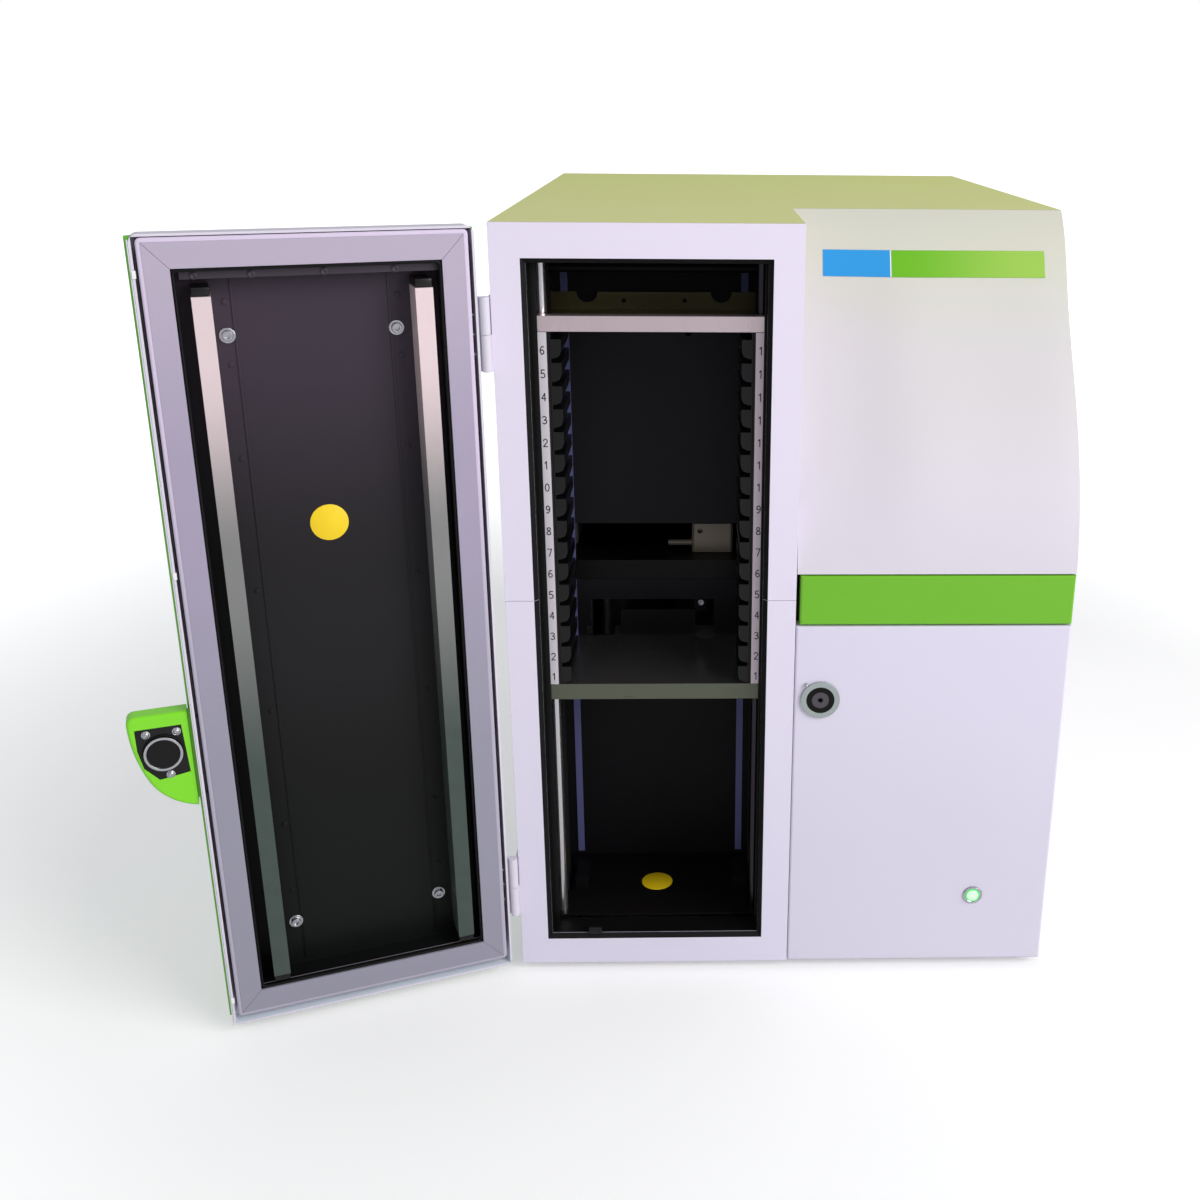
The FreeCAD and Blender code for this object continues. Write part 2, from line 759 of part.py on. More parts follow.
accent_band = moulded("accent_band", f"{cover_left} + band_gap", "cabinet_width",
                      "band_bottom", "band_top")
lower_front_panel = moulded("lower_front_panel", cover_left, "cabinet_width", "0",
                            "panel_height")
extrude(lower_front_panel, "XZ", ("cover_wall", "bezel_depth - 3"),
        circles=[("button_across", "button_height",
                  "button_radius + running_fit + sleeve_wall")])
extrude(lower_front_panel, "XZ", ("-1", "bezel_depth"),
        circles=[("lock_across", "lock_height", "lock_radius + running_fit"),
                 ("pin_across", "pin_height", "pin_radius + running_fit"),
                 ("button_across", "button_height", "button_radius + running_fit")], cut=True)

# the magnet lock: a cup, an insulating ring and a core with a small bore
magnet_lock_housing = carried(new_body("magnet_lock_housing"))
lock = ("lock_across", "0", "lock_height")
lock_floor = "bezel_depth - lock_back"
turn(magnet_lock_housing, "Y", lock,
     [("0", lock_floor), ("lock_cavity", lock_floor), ("lock_cavity", "-lock_proud"),
      ("lock_radius", "-lock_proud"), ("lock_radius", "bezel_depth"), ("0", "bezel_depth")])
magnet_lock_insulator = carried(new_body("magnet_lock_insulator"))
turn(magnet_lock_insulator, "Y", lock,
     [("lock_core + running_fit", "0.5 - lock_proud"),
      ("lock_cavity - running_fit", "0.5 - lock_proud"),
      ("lock_cavity - running_fit", lock_floor), ("lock_core + running_fit", lock_floor)])
magnet_lock_core = carried(new_body("magnet_lock_core"))
turn(magnet_lock_core, "Y", lock,
     [("lock_bore", "-lock_proud"), ("lock_core", "-lock_proud"), ("lock_core", lock_floor),
      ("0", lock_floor), ("0", f"{lock_floor} - 4"), ("lock_bore", f"{lock_floor} - 4")])

# the sprung pin that feels the door, and the round power button
door_sensor_pin = carried(new_body("door_sensor_pin"))
turn(door_sensor_pin, "Y", ("pin_across", "0", "pin_height"),
     [("0", "-pin_proud"), ("pin_radius - 0.5", "-pin_proud"),
      ("pin_radius", "0.5 - pin_proud"), ("pin_radius", f"{pin_reach}"), ("0", f"{pin_reach}")])
power_button = carried(new_body("power_button"))
button_back = "bezel_depth - button_travel - 0.5"
turn(power_button, "Y", ("button_across", "0", "button_height"),
     [("0", "-button_proud"), ("button_radius - 1", "-button_proud"),
      ("button_radius", "1 - button_proud"), ("button_radius", button_back),
      ("0", button_back)])

# the rear panel: a grille of slots for the fan, and an opening for the inlet
rear_panel = slab("rear_panel", "XZ", (rear_face, "cabinet_depth"),
                  [rectangle("panel_wall", inner_right, "0", inner_top)])
slot_low = "fan_height - grille_pitch * (grille_slots - 1) / 2 - grille_slot / 2"
slot = extrude(rear_panel, "XZ", (f"{rear_face} - 1", "cabinet_depth + 1"),
               [rectangle("fan_across - fan_blade + 4", "fan_across + fan_blade - 4",
                          slot_low, f"{slot_low} + grille_slot")], cut=True)
repeat(rear_panel, [slot], "Z", "grille_slots", "grille_pitch")
inlet_half = "inlet_width / 2 - 4"
extrude(rear_panel, "XZ", (f"{rear_face} - 1", "cabinet_depth + 1"),
        [rectangle(f"inlet_across - ({inlet_half}) - plate_clearance",
                   f"inlet_across + {inlet_half} + plate_clearance",
                   "inlet_height - inlet_tall / 2 + 4 - plate_clearance",
                   "inlet_height + inlet_tall / 2 - 4 + plate_clearance")], cut=True)

# the stacker compartment: liner, floor, the two rear walls and the shelf between them
rear_wall_back = "rear_wall_depth + liner_wall"
liner_low = "floor_height - liner_wall"
stacker_liner = slab(
    "stacker_liner", "XZ", (wall_back, rear_wall_back),
    [[(f"{liner_left} - liner_wall", liner_low), (liner_left, liner_low),
      (liner_left, "liner_ceiling"), (liner_right, "liner_ceiling"),
      (liner_right, liner_low), (f"{liner_right} + liner_wall", liner_low),
      (f"{liner_right} + liner_wall", "liner_ceiling + liner_wall"),
      (f"{liner_left} - liner_wall", "liner_ceiling + liner_wall")]])

trim_back = f"{trim_front} + trim_depth"
belt_half = "pulley_width / 2 + 2"
belt_reach = "pulley_radius + belt_gap + belt_wall + 2"
bracket_gap = "plate_clearance"
bracket_spots = [("bracket_left", "bracket_left + bracket_width"),
                 ("bracket_right", "bracket_right + bracket_right_width")]
stacker_floor = slab("stacker_floor", "XY", (liner_low, "floor_height"),
                     [rectangle(liner_left, liner_right, trim_back, "rear_wall_depth")])
extrude(stacker_floor, "XY", (f"{liner_low} - 1", "floor_height + 1"),
        [rectangle(f"{left} - {bracket_gap}", f"{right} + {bracket_gap}",
                   f"bracket_front - {bracket_gap}",
                   f"bracket_front + bracket_depth + {bracket_gap}")
         for left, right in bracket_spots]
        + [rectangle(left, right, f"shaft_depth - ({belt_reach})",
                     f"shaft_depth + {belt_reach}")
           for left, right in both(f"pulley_spread - ({belt_half})",
                                   f"pulley_spread + {belt_half}")], cut=True)

rear_wall_upper = slab(
    "rear_wall_upper", "XZ", ("rear_wall_depth", rear_wall_back),
    [[(liner_left, "slot_bottom"), ("stack_centre - slot_width / 2", "slot_bottom"),
      ("stack_centre - slot_width / 2", "slot_bottom + slot_height"),
      ("stack_centre + slot_width / 2", "slot_bottom + slot_height"),
      ("stack_centre + slot_width / 2", "slot_bottom"), (liner_right, "slot_bottom"),
      (liner_right, "liner_ceiling"), (liner_left, "liner_ceiling")]],
    [("keyhole_across", "keyhole_height", "keyhole_radius")])

shelf_low = "slot_bottom - liner_wall"
rear_wall_lower = slab(
    "rear_wall_lower", "XZ", ("rear_wall_depth", rear_wall_back),
    [rectangle(liner_left, liner_right, "floor_height", shelf_low),
     [("cutout_left", "cutout_top"), ("cutout_right", "cutout_top"),
      ("cutout_right", "cutout_foot"), ("island_right", "cutout_foot"),
      ("island_right", "island_top"), ("island_left", "island_top"),
      ("island_left", "cutout_foot"), ("cutout_toe_right", "cutout_foot"),
      ("cutout_toe_right", "cutout_toe"), ("cutout_toe_left", "cutout_toe"),
      ("cutout_toe_left", "cutout_foot"), ("cutout_left", "cutout_foot")]])

# the table that a plate is drawn back along, with its lip turned down in front
shelf_left = "stack_centre - shelf_width / 2"
shelf_right = "stack_centre + shelf_width / 2"
transfer_shelf = slab(
    "transfer_shelf", "YZ", (shelf_left, shelf_right),
    [[("rear_wall_depth - liner_wall", "slot_bottom - shelf_lip"),
      ("rear_wall_depth", "slot_bottom - shelf_lip"), ("rear_wall_depth", shelf_low),
      ("rear_wall_depth + shelf_length", shelf_low),
      ("rear_wall_depth + shelf_length", "slot_bottom"),
      ("rear_wall_depth - liner_wall", "slot_bottom")]])

# the two blue strips on the rear wall, each interrupted by the lip
strip_sides = both("strip_spread - strip_width / 2", "strip_spread + strip_width / 2")
guide_strips = carried(new_body("guide_strips"))
for low, high in (("strip_bottom", "slot_bottom - shelf_lip - plate_clearance"),
                  ("slot_bottom + plate_clearance", "strip_top")):
    extrude(guide_strips, "XZ", ("rear_wall_depth - strip_wall", "rear_wall_depth"),
            [rectangle(left, right, low, high) for left, right in strip_sides])

guide_columns = slab("guide_columns", "XY", ("floor_height", "liner_ceiling"),
                     circles=[(f"stack_centre {side} column_spread", "column_depth",
                               "column_radius") for side in "-+"])

# the magazine: an inverted channel for its top bar
bar_top = "bar_bottom + bar_height"
bar_back = "magazine_front + bar_depth"
magazine_top_bar = slab(
    "magazine_top_bar", "YZ",
    ("stack_centre - bar_width / 2", "stack_centre + bar_width / 2"),
    [[("magazine_front", "bar_bottom"), ("magazine_front + magazine_sheet", "bar_bottom"),
      ("magazine_front + magazine_sheet", f"{bar_top} - magazine_sheet"),
      (f"{bar_back} - magazine_sheet", f"{bar_top} - magazine_sheet"),
      (f"{bar_back} - magazine_sheet", "bar_bottom"), (bar_back, "bar_bottom"),
      (bar_back, bar_top), ("magazine_front", bar_top)]])

# room beside the side plates for the columns, their bushings and the belts
side_outer = "side_plate_spread + magazine_sheet"
bushing_front = "column_depth - bushing_depth / 2"
bushing_back = "column_depth + bushing_depth / 2"


def side_notches(edge):
    spans = [(f"{bushing_front} - 1", f"{bushing_back} + 1"),
             (f"shaft_depth - ({belt_reach})", f"shaft_depth + {belt_reach}")]
    return [rectangle(left, right, front, back)
            for left, right in both(side_outer, f"{edge} + 1") for front, back in spans]


top_plate_back = "magazine_front + top_plate_depth"
top_plate_low = "bar_bottom"
top_plate_high = "bar_bottom + top_plate_wall"
magazine_top_plate = slab(
    "magazine_top_plate", "XY", (top_plate_low, top_plate_high),
    [rectangle("stack_centre - top_plate_width / 2", "stack_centre + top_plate_width / 2",
               bar_back, top_plate_back)])
extrude(magazine_top_plate, "XY", (f"{top_plate_low} - 1", f"{top_plate_high} + 1"),
        side_notches("top_plate_width / 2"), cut=True)
upstand_top = f"{top_plate_high} + upstand_height"
extrude(magazine_top_plate, "XZ", (f"{top_plate_back} - magazine_sheet", top_plate_back),
        [rectangle("stack_centre - top_plate_width / 2", "stack_centre + top_plate_width / 2",
                   top_plate_low, upstand_top)])
extrude(magazine_top_plate, "XZ",
        (f"{top_plate_back} - magazine_sheet - 1", f"{top_plate_back} + 1"),
        circles=[(f"stack_centre {side} upstand_notch_spread", upstand_top,
                  "upstand_notch_radius") for side in "-+"]
        + [(f"stack_centre {side} upstand_hole_spread",
            f"{top_plate_high} + upstand_height / 2", "upstand_hole_radius")
           for side in "-+"], cut=True)

# the tray that carries the stack, with its lip turned down in front
tray_top = "magazine_bottom + tray_height"
tray_back = "magazine_front + tray_depth"
magazine_tray = slab(
    "magazine_tray", "YZ", ("stack_centre - tray_width / 2", "stack_centre + tray_width / 2"),
    [[("magazine_front", "magazine_bottom"),
      ("magazine_front + magazine_sheet", "magazine_bottom"),
      ("magazine_front + magazine_sheet", f"{tray_top} - magazine_sheet"),
      (tray_back, f"{tray_top} - magazine_sheet"), (tray_back, tray_top),
      ("magazine_front", tray_top)]])
extrude(magazine_tray, "XY", ("magazine_bottom", f"{tray_top} + 1"),
        side_notches("tray_width / 2"),
        [(f"stack_centre {side} tray_notch_spread", tray_back, "tray_notch_radius")
         for side in "-+"], cut=True)

# folded side plates: a web beside each rack, a flange in front for the numbers,
# and a clamp on the belt
magazine_side_plates = carried(new_body("magazine_side_plates"))
flange_back = "magazine_front + magazine_sheet"
for left, right in both("side_plate_spread", side_outer):
    extrude(magazine_side_plates, "XY", (tray_top, "bar_bottom"),
            [rectangle(left, right, "magazine_front", top_plate_back)])
for left, right in both(side_outer, f"{side_outer} + side_flange"):
    extrude(magazine_side_plates, "XY", (tray_top, "bar_bottom"),
            [rectangle(left, right, "magazine_front", flange_back)])
strand = "shaft_depth - pulley_radius - belt_gap"
clamp_low = f"{tray_top} + 12"
for left, right in both(side_outer, "pulley_spread"):
    extrude(magazine_side_plates, "XY", (clamp_low, f"{clamp_low} + 20"),
            [rectangle(left, right, f"{strand} - belt_wall - 5", f"{strand} + 5")])
for left, right in both("pulley_spread - belt_width / 2 - 0.4", "pulley_spread + 1"):
    extrude(magazine_side_plates, "XY", (f"{clamp_low} - 1", f"{clamp_low} + 21"),
            [rectangle(left, right, f"{strand} - belt_wall - 0.4", f"{strand} + 0.4")],
            cut=True)

# the racks: a spine with one shield-shaped ledge under each plate
ledge_low = f"{tray_top} + ledge_start"
ledge_top = f"{ledge_low} + ledge_height"
ledge_front = flange_back


def rack(label, side):
    near = f"stack_centre {side} side_plate_spread"
    sign = "+" if side == "-" else "-"
    spine = f"{near} {sign} rack_wall"
    tip = f"{near} {sign} ledge_width"
    body = carried(new_body(label))
    sides = (near, spine) if side == "-" else (spine, near)
    extrude(body, "XZ", (ledge_front, "ledge_depth"),
            [rectangle(sides[0], sides[1], tray_top, "bar_bottom")])
    turnback = "-" if side == "-" else "+"
    ledge = extrude(body, "XZ", (ledge_front, "ledge_depth"),
                    [[(spine, ledge_low), (spine, ledge_top), (tip, ledge_top),
                      (tip, f"{ledge_low} + ledge_round"),
                      (f"{tip} {turnback} ledge_round * 0.3",
                       f"{ledge_low} + ledge_round * 0.3"),
                      (f"{tip} {turnback} ledge_round", ledge_low)]])
    repeat(body, [ledge], "Z", "plate_count", "plate_pitch")
    return body


rack_left = rack("rack_left", "-")
rack_right = rack("rack_right", "+")

# the blocks that slide on the columns
guide_bushings = carried(new_body("guide_bushings"))
upper_block = "bar_bottom - bushing_height"
for low in (f"{tray_top} + 1", upper_block):
    for left, right in both(side_outer, "column_spread + column_radius + 1"):
        extrude(guide_bushings, "XY", (low, f"{low} + bushing_height"),
                [rectangle(left, right, bushing_front, bushing_back)])
extrude(guide_bushings, "XY", (tray_top, "bar_bottom + 1"),
        circles=[(f"stack_centre {side} column_spread", "column_depth",
                  "column_radius + running_fit") for side in "-+"], cut=True)

# the lift drive: a lower shaft with two pulleys and a coupling, and an upper idler
def pulley_shaft(label, height, start, stop):
    half = "pulley_width / 2"
    body = carried(new_body(label))
    turn(body, "X", ("0", "shaft_depth", height),
         [(start, "0"), (start, "shaft_radius"),
          (f"stack_centre - pulley_spread - {half}", "shaft_radius"),
          (f"stack_centre - pulley_spread - {half}", "pulley_radius"),
          (f"stack_centre - pulley_spread + {half}", "pulley_radius"),
          (f"stack_centre - pulley_spread + {half}", "shaft_radius"),
          (f"stack_centre + pulley_spread - {half}", "shaft_radius"),
          (f"stack_centre + pulley_spread - {half}", "pulley_radius"),
          (f"stack_centre + pulley_spread + {half}", "pulley_radius"),
          (f"stack_centre + pulley_spread + {half}", "shaft_radius"),
          (stop, "shaft_radius"), (stop, "0")])
    return body


coupling_start = "motor_start - coupling_length - 1"
drive_shaft = pulley_shaft("drive_shaft", "shaft_height", f"{liner_left} + 5",
                           f"{coupling_start} + 2")
turn(drive_shaft, "X", ("0", "shaft_depth", "shaft_height"),
     [(coupling_start, "0"), (coupling_start, "coupling_radius"),
      (f"{coupling_start} + coupling_length", "coupling_radius"),
      (f"{coupling_start} + coupling_length", "motor_shaft_radius + running_fit"),
      (f"{coupling_start} + 3", "motor_shaft_radius + running_fit"),
      (f"{coupling_start} + 3", "0")])
idler_shaft = pulley_shaft("idler_shaft", "idler_height", f"{liner_left} + 0.5",
                           f"{liner_right} - 0.5")

# the toothed belts, drawn plain, round both pairs of pulleys
lift_belts = carried(new_body("lift_belts"))
belt_inner = "pulley_radius + belt_gap"
belt_outer = f"{belt_inner} + belt_wall"
for low, high in both("pulley_spread - belt_width / 2", "pulley_spread + belt_width / 2"):
    extrude(lift_belts, "YZ", (low, high),
            [rectangle(f"shaft_depth - ({belt_outer})", f"shaft_depth + {belt_outer}",
                       "shaft_height", "idler_height")])
    for height in ("shaft_height", "idler_height"):
        extrude(lift_belts, "YZ", (low, high),
                circles=[("shaft_depth", height, belt_outer)])
for low, high in both("pulley_spread - belt_width / 2 - 1", "pulley_spread + belt_width / 2 + 1"):
    extrude(lift_belts, "YZ", (low, high),
            [rectangle(f"shaft_depth - ({belt_inner})", f"shaft_depth + {belt_inner}",
                       "shaft_height", "idler_height")], cut=True)
    for height in ("shaft_height", "idler_height"):
        extrude(lift_belts, "YZ", (low, high),
                circles=[("shaft_depth", height, belt_inner)], cut=True)

# bearing brackets: two stand on the tray and show through the floor, two hold the idler
bearing_brackets = carried(new_body("bearing_brackets"))
for left, right in bracket_spots:
    extrude(bearing_brackets, "YZ", (left, right),
            [rectangle("bracket_front", "bracket_front + bracket_depth", "panel_wall",
                       "bracket_top")],
            [("shaft_depth", "shaft_height", "shaft_radius + running_fit")])
for left, right in ((liner_left, f"{liner_left} + idler_block_wall"),
                    (f"{liner_right} - idler_block_wall", liner_right)):
    extrude(bearing_brackets, "YZ", (left, right),
            [rectangle("shaft_depth - idler_block / 2", "shaft_depth + idler_block / 2",
                       "idler_height - idler_block / 2", "liner_ceiling")],
            [("shaft_depth", "idler_height", "shaft_radius + running_fit")])

# the lift motor on its foot
lift_motor = carried(new_body("lift_motor"))
motor_half = "motor_size / 2"
extrude(lift_motor, "YZ", ("motor_start", "motor_start + motor_length"),
        [rectangle(f"shaft_depth - {motor_half}", f"shaft_depth + {motor_half}",
                   "panel_wall", "shaft_height + motor_size / 2")])
soften(lift_motor, "Chamfer", "4",
       straight_edges(lift_motor, "x", z=["shaft_height + motor_size / 2"]))
extrude(lift_motor, "YZ", (f"{coupling_start} + 4", "motor_start"),
        circles=[("shaft_depth", "shaft_height", "motor_shaft_radius")])

# the detector: a heavy base on four legs under the table, and a head that bridges it
detector_left = "stack_centre - detector_width / 2"
detector_right = "stack_centre + detector_width / 2"
detector_back = "detector_front + detector_length"
base_low = f"{shelf_low} - base_thickness"
tube_spots = [(f"stack_centre {side} tube_spread",
               f"detector_front + detector_length / 2 + ({row}) * tube_pitch")
              for side in "-+" for row in ("-1", "0", "1")]
bore = "tube_radius + tube_bore_gap"
detector_base = slab("detector_base", "XY", (base_low, shelf_low),
                     [rectangle(detector_left, detector_right, "detector_front",
                                detector_back)],
                     [(x, y, bore) for x, y in tube_spots])
extrude(detector_base, "XY", ("panel_wall", base_low),
        [rectangle(left, right, front, back)
         for left, right in ((detector_left, f"{detector_left} + leg_width"),
                             (f"{detector_right} - leg_width", detector_right))
         for front, back in (("detector_front", "detector_front + leg_width"),
                             (f"{detector_back} - leg_width", detector_back))])

bridge_left = f"{shelf_left} - plate_clearance"
bridge_right = f"{shelf_right} + plate_clearance"
detector_head = slab(
    "detector_head", "XZ", ("detector_front", detector_back),
    [[(detector_left, shelf_low), (bridge_left, shelf_low), (bridge_left, "head_roof"),
      (bridge_right, "head_roof"), (bridge_right, shelf_low), (detector_right, shelf_low),
      (detector_right, "head_top"), (detector_left, "head_top")]])
extrude(detector_head, "XY", ("head_roof - 1", "head_top + 1"),
        circles=[(x, y, bore) for x, y in tube_spots], cut=True)

# a light tube above and below each counting place: six pairs
photomultiplier_tubes = carried(new_body("photomultiplier_tubes"))
for low, high, radius in (("head_roof + 2", "head_top", "tube_radius"),
                          ("head_top", "head_top + tube_length", "tube_can_radius"),
                          (base_low, f"{shelf_low} - 0.5", "tube_radius"),
                          (f"{base_low} - tube_length", base_low, "tube_can_radius")):
    extrude(photomultiplier_tubes, "XY", (low, high),
            circles=[(x, y, radius) for x, y in tube_spots])

# the rail between two blocks on the table
rail_back = "rail_front + rail_length"
carriage_rail = carried(new_body("carriage_rail"))
for front, back in (("rail_front", "rail_front + rail_block"),
                    (f"{rail_back} - rail_block", rail_back)):
    extrude(carriage_rail, "XZ", (front, back),
            [rectangle("rail_across - rail_block", "rail_across + rail_block", "slot_bottom",
                       "rail_height + rail_block")])
extrude(carriage_rail, "XZ", ("rail_front + rail_block", f"{rail_back} - rail_block"),
        circles=[("rail_across", "rail_height", "rail_radius")])

# the carriage that draws a plate back: a front block, an arm and a slider on the rail
carriage_right = "carriage_left + carriage_width"
carriage_plate_back = "carriage_front + carriage_plate"
plate_carriage = slab("plate_carriage", "XZ", ("carriage_front", carriage_plate_back),
                      [rectangle("carriage_left", carriage_right, "carriage_low",
                                 "carriage_top")])
extrude(plate_carriage, "XZ", (carriage_plate_back, "slider_front"),
        [rectangle("carriage_left", "carriage_left + carriage_arm", "carriage_low + 2",
                   "carriage_top - 4")])
extrude(plate_carriage, "XZ", ("slider_front", "slider_front + slider_length"),
        [rectangle("carriage_left", carriage_right, "carriage_low + 2",
                   "carriage_top - 4")])
soften(plate_carriage, "Chamfer", "2",
       straight_edges(plate_carriage, "z", y=["carriage_front"]))
extrude(plate_carriage, "XZ", ("slider_front - 1", "slider_front + slider_length + 1"),
        circles=[("rail_across", "rail_height", "rail_radius + running_fit")], cut=True)
extrude(plate_carriage, "XZ", ("carriage_front - 1", "carriage_front + 6"),
        circles=[("carriage_left + 8", "carriage_top - 7.5", "2.5")], cut=True)
extrude(plate_carriage, "YZ", ("carriage_left - finger_length", "carriage_left"),
        circles=[(f"{carriage_plate_back} - carriage_plate / 2", "finger_height",
                  "finger_radius")])

# the power supply: a folded case with a row of vents in its lid
power_supply = slab("power_supply", "XY", ("panel_wall", "supply_height"),
                    [rectangle("supply_left", "supply_left + supply_width", "supply_front",
                               "supply_front + supply_depth")])
vent = extrude(power_supply, "XY", ("supply_height - 2", "supply_height + 1"),
               [rectangle("supply_left + 12", "supply_left + supply_width - 12",
                          "supply_front + 15", "supply_front + 21")], cut=True)
repeat(power_supply, [vent], "Y", "8", "14")

# a main board on four posts, with a row of cards standing in it
circuit_boards = slab("circuit_boards", "XY",
                      ("panel_wall + board_standoff",
                       "panel_wall + board_standoff + board_wall"),
                      [rectangle("board_left", "board_left + board_width", "board_front",
                                 "board_front + board_depth")])
extrude(circuit_boards, "XY", ("panel_wall", "panel_wall + board_standoff"),
        circles=[(x, y, "3") for x in ("board_left + 8", "board_left + board_width - 8")
                 for y in ("board_front + 8", "board_front + board_depth - 8")])
card_low = "panel_wall + board_standoff + board_wall"
card = extrude(circuit_boards, "XY", (card_low, f"{card_low} + card_height"),
               [rectangle("board_left + 20", "board_left + 20 + board_wall",
                          "board_front + 15", "board_front + board_depth - 15")])
repeat(circuit_boards, [card], "X", "card_count", "(board_width - 40) / (card_count - 1)")

# the fan: a square frame with four struts, and a hub that carries the blades
fan_front = f"{rear_face} - fan_depth"
fan_housing = slab("fan_housing", "XZ", (fan_front, rear_face),
                   [rectangle("fan_across - fan_frame / 2", "fan_across + fan_frame / 2",
                              "fan_height - fan_frame / 2", "fan_height + fan_frame / 2")],
                   [("fan_across", "fan_height", "fan_bore")])
strut_back = f"{fan_front} + fan_strut_depth"
extrude(fan_housing, "XZ", (fan_front, strut_back),
        circles=[("fan_across", "fan_height", "fan_hub")])
for run, rise in (("fan_bore + 1", "fan_strut / 2"), ("fan_strut / 2", "fan_bore + 1")):
    extrude(fan_housing, "XZ", (fan_front, strut_back),
            [rectangle(f"fan_across - ({run})", f"fan_across + {run}",
                       f"fan_height - ({rise})", f"fan_height + {rise}")])
extrude(fan_housing, "XZ", (strut_back, f"{strut_back} + fan_pin_length"),
        circles=[("fan_across", "fan_height", "fan_pin_radius")])

fan_rotor = carried(new_body("fan_rotor"))
rotor_front = f"{strut_back} + fan_clearance"
rotor_back = f"{rear_face} - 3 * fan_clearance"
pin_end = f"{strut_back} + fan_pin_length + fan_clearance / 2"
turn(fan_rotor, "Y", ("fan_across", "0", "fan_height"),
     [("fan_pin_radius + running_fit", rotor_front), ("fan_hub", rotor_front),
      ("fan_hub", rotor_back), ("0", rotor_back), ("0", pin_end),
      ("fan_pin_radius + running_fit", pin_end)])
blade_sketch = sketch_on(fan_rotor, "YZ", ("0", "fan_height"), "fan_across")
draw(blade_sketch, [(f"{rotor_front} + 1", "fan_hub - 1"), (f"{rotor_back} - 1", "fan_hub - 1"),
                    (f"{rotor_back} - 1", "fan_blade"), (f"{rotor_front} + 1", "fan_blade")])
blade = fan_rotor.newObject("PartDesign::Pad", "fan_rotor_blade")
blade.Profile = blade_sketch
blade.setExpression("Length", bound("fan_blade_wall"))
doc.recompute()
blades = fan_rotor.newObject("PartDesign::PolarPattern", "fan_rotor_blades")
axis_sketch = sketch_on(fan_rotor, "XY", ("fan_across", "0"), "fan_height")
blades.Originals = [blade]
blades.Axis = (axis_sketch, ["V_Axis"])
blades.Angle = 360
blades.setExpression("Occurrences", bound("fan_blades"))
fan_rotor.Tip = blades
doc.recompute()

# the power inlet with its socket, and the rocker beside it
power_inlet = slab("power_inlet", "XZ", ("cabinet_depth", "cabinet_depth + inlet_flange"),
                   [rectangle("inlet_across - inlet_width / 2",
                              "inlet_across + inlet_width / 2",
                              "inlet_height - inlet_tall / 2",
                              "inlet_height + inlet_tall / 2")])
soften(power_inlet, "Fillet", "3",
       straight_edges(power_inlet, "y", x=["inlet_across - inlet_width / 2",
                                           "inlet_across + inlet_width / 2"]))
extrude(power_inlet, "XZ", ("cabinet_depth - inlet_depth", "cabinet_depth"),
        [rectangle(f"inlet_across - ({inlet_half})", f"inlet_across + {inlet_half}",
                   "inlet_height - inlet_tall / 2 + 4", "inlet_height + inlet_tall / 2 - 4")])
inlet_face = "cabinet_depth + inlet_flange"
socket_height = "inlet_height - inlet_tall / 4 + 2"
extrude(power_inlet, "XZ", (f"{inlet_face} - socket_depth", f"{inlet_face} + 1"),
        [rectangle("inlet_across - socket_width / 2", "inlet_across + socket_width / 2",
                   f"{socket_height} - socket_tall / 2", f"{socket_height} + socket_tall / 2")],
        cut=True)
extrude(power_inlet, "XZ", (f"{inlet_face} - socket_depth", f"{inlet_face} - 3"),
        [rectangle(f"inlet_across + ({place}) - 1", f"inlet_across + ({place}) + 1",
                   f"{socket_height} + ({rise}) - 2", f"{socket_height} + ({rise}) + 2")
         for place, rise in (("-7", "-1.5"), ("0", "2"), ("7", "-1.5"))])
rocker_height = "inlet_height + rocker_rise"
extrude(power_inlet, "XZ", (f"{inlet_face} - 14", f"{inlet_face} + 1"),
        [rectangle("inlet_across - rocker_width / 2 - rocker_gap",
                   "inlet_across + rocker_width / 2 + rocker_gap",
                   f"{rocker_height} - rocker_tall / 2 - rocker_gap",
                   f"{rocker_height} + rocker_tall / 2 + rocker_gap")], cut=True)
extrude(power_inlet, "YZ", ("inlet_across - rocker_width / 2 - rocker_gap",
                            "inlet_across + rocker_width / 2 + rocker_gap"),
        circles=[(f"{inlet_face} - rocker_pivot", rocker_height, "rocker_pin")])

# the rocker is drawn from its pivot and rests tilted to one side
mains_switch = new_body("mains_switch")
mains_switch.Placement = Placement(Vector(0, 0, 0),
                                   Rotation(Vector(1, 0, 0), -number("rocker_tilt_angle")))
for axis, formula in (("x", "inlet_across - cabinet_width / 2"),
                      ("y", f"{inlet_face} - rocker_pivot - cabinet_depth / 2"),
                      ("z", rocker_height)):
    mains_switch.setExpression(f"Placement.Base.{axis}", bound(formula))
rocker_top = "rocker_pivot + 2.4"
extrude(mains_switch, "YZ", ("-rocker_width / 2", "rocker_width / 2"),
        [[("-4", "-3"), ("3", "0.6 - rocker_tall / 2"), (rocker_top, "0.6 - rocker_tall / 2"),
          (f"{rocker_top} - 1.6", "0"), (rocker_top, "rocker_tall / 2 - 0.6"),
          ("3", "rocker_tall / 2 - 0.6"), ("-4", "3")]],
        [("0", "0", "rocker_pin + running_fit")])

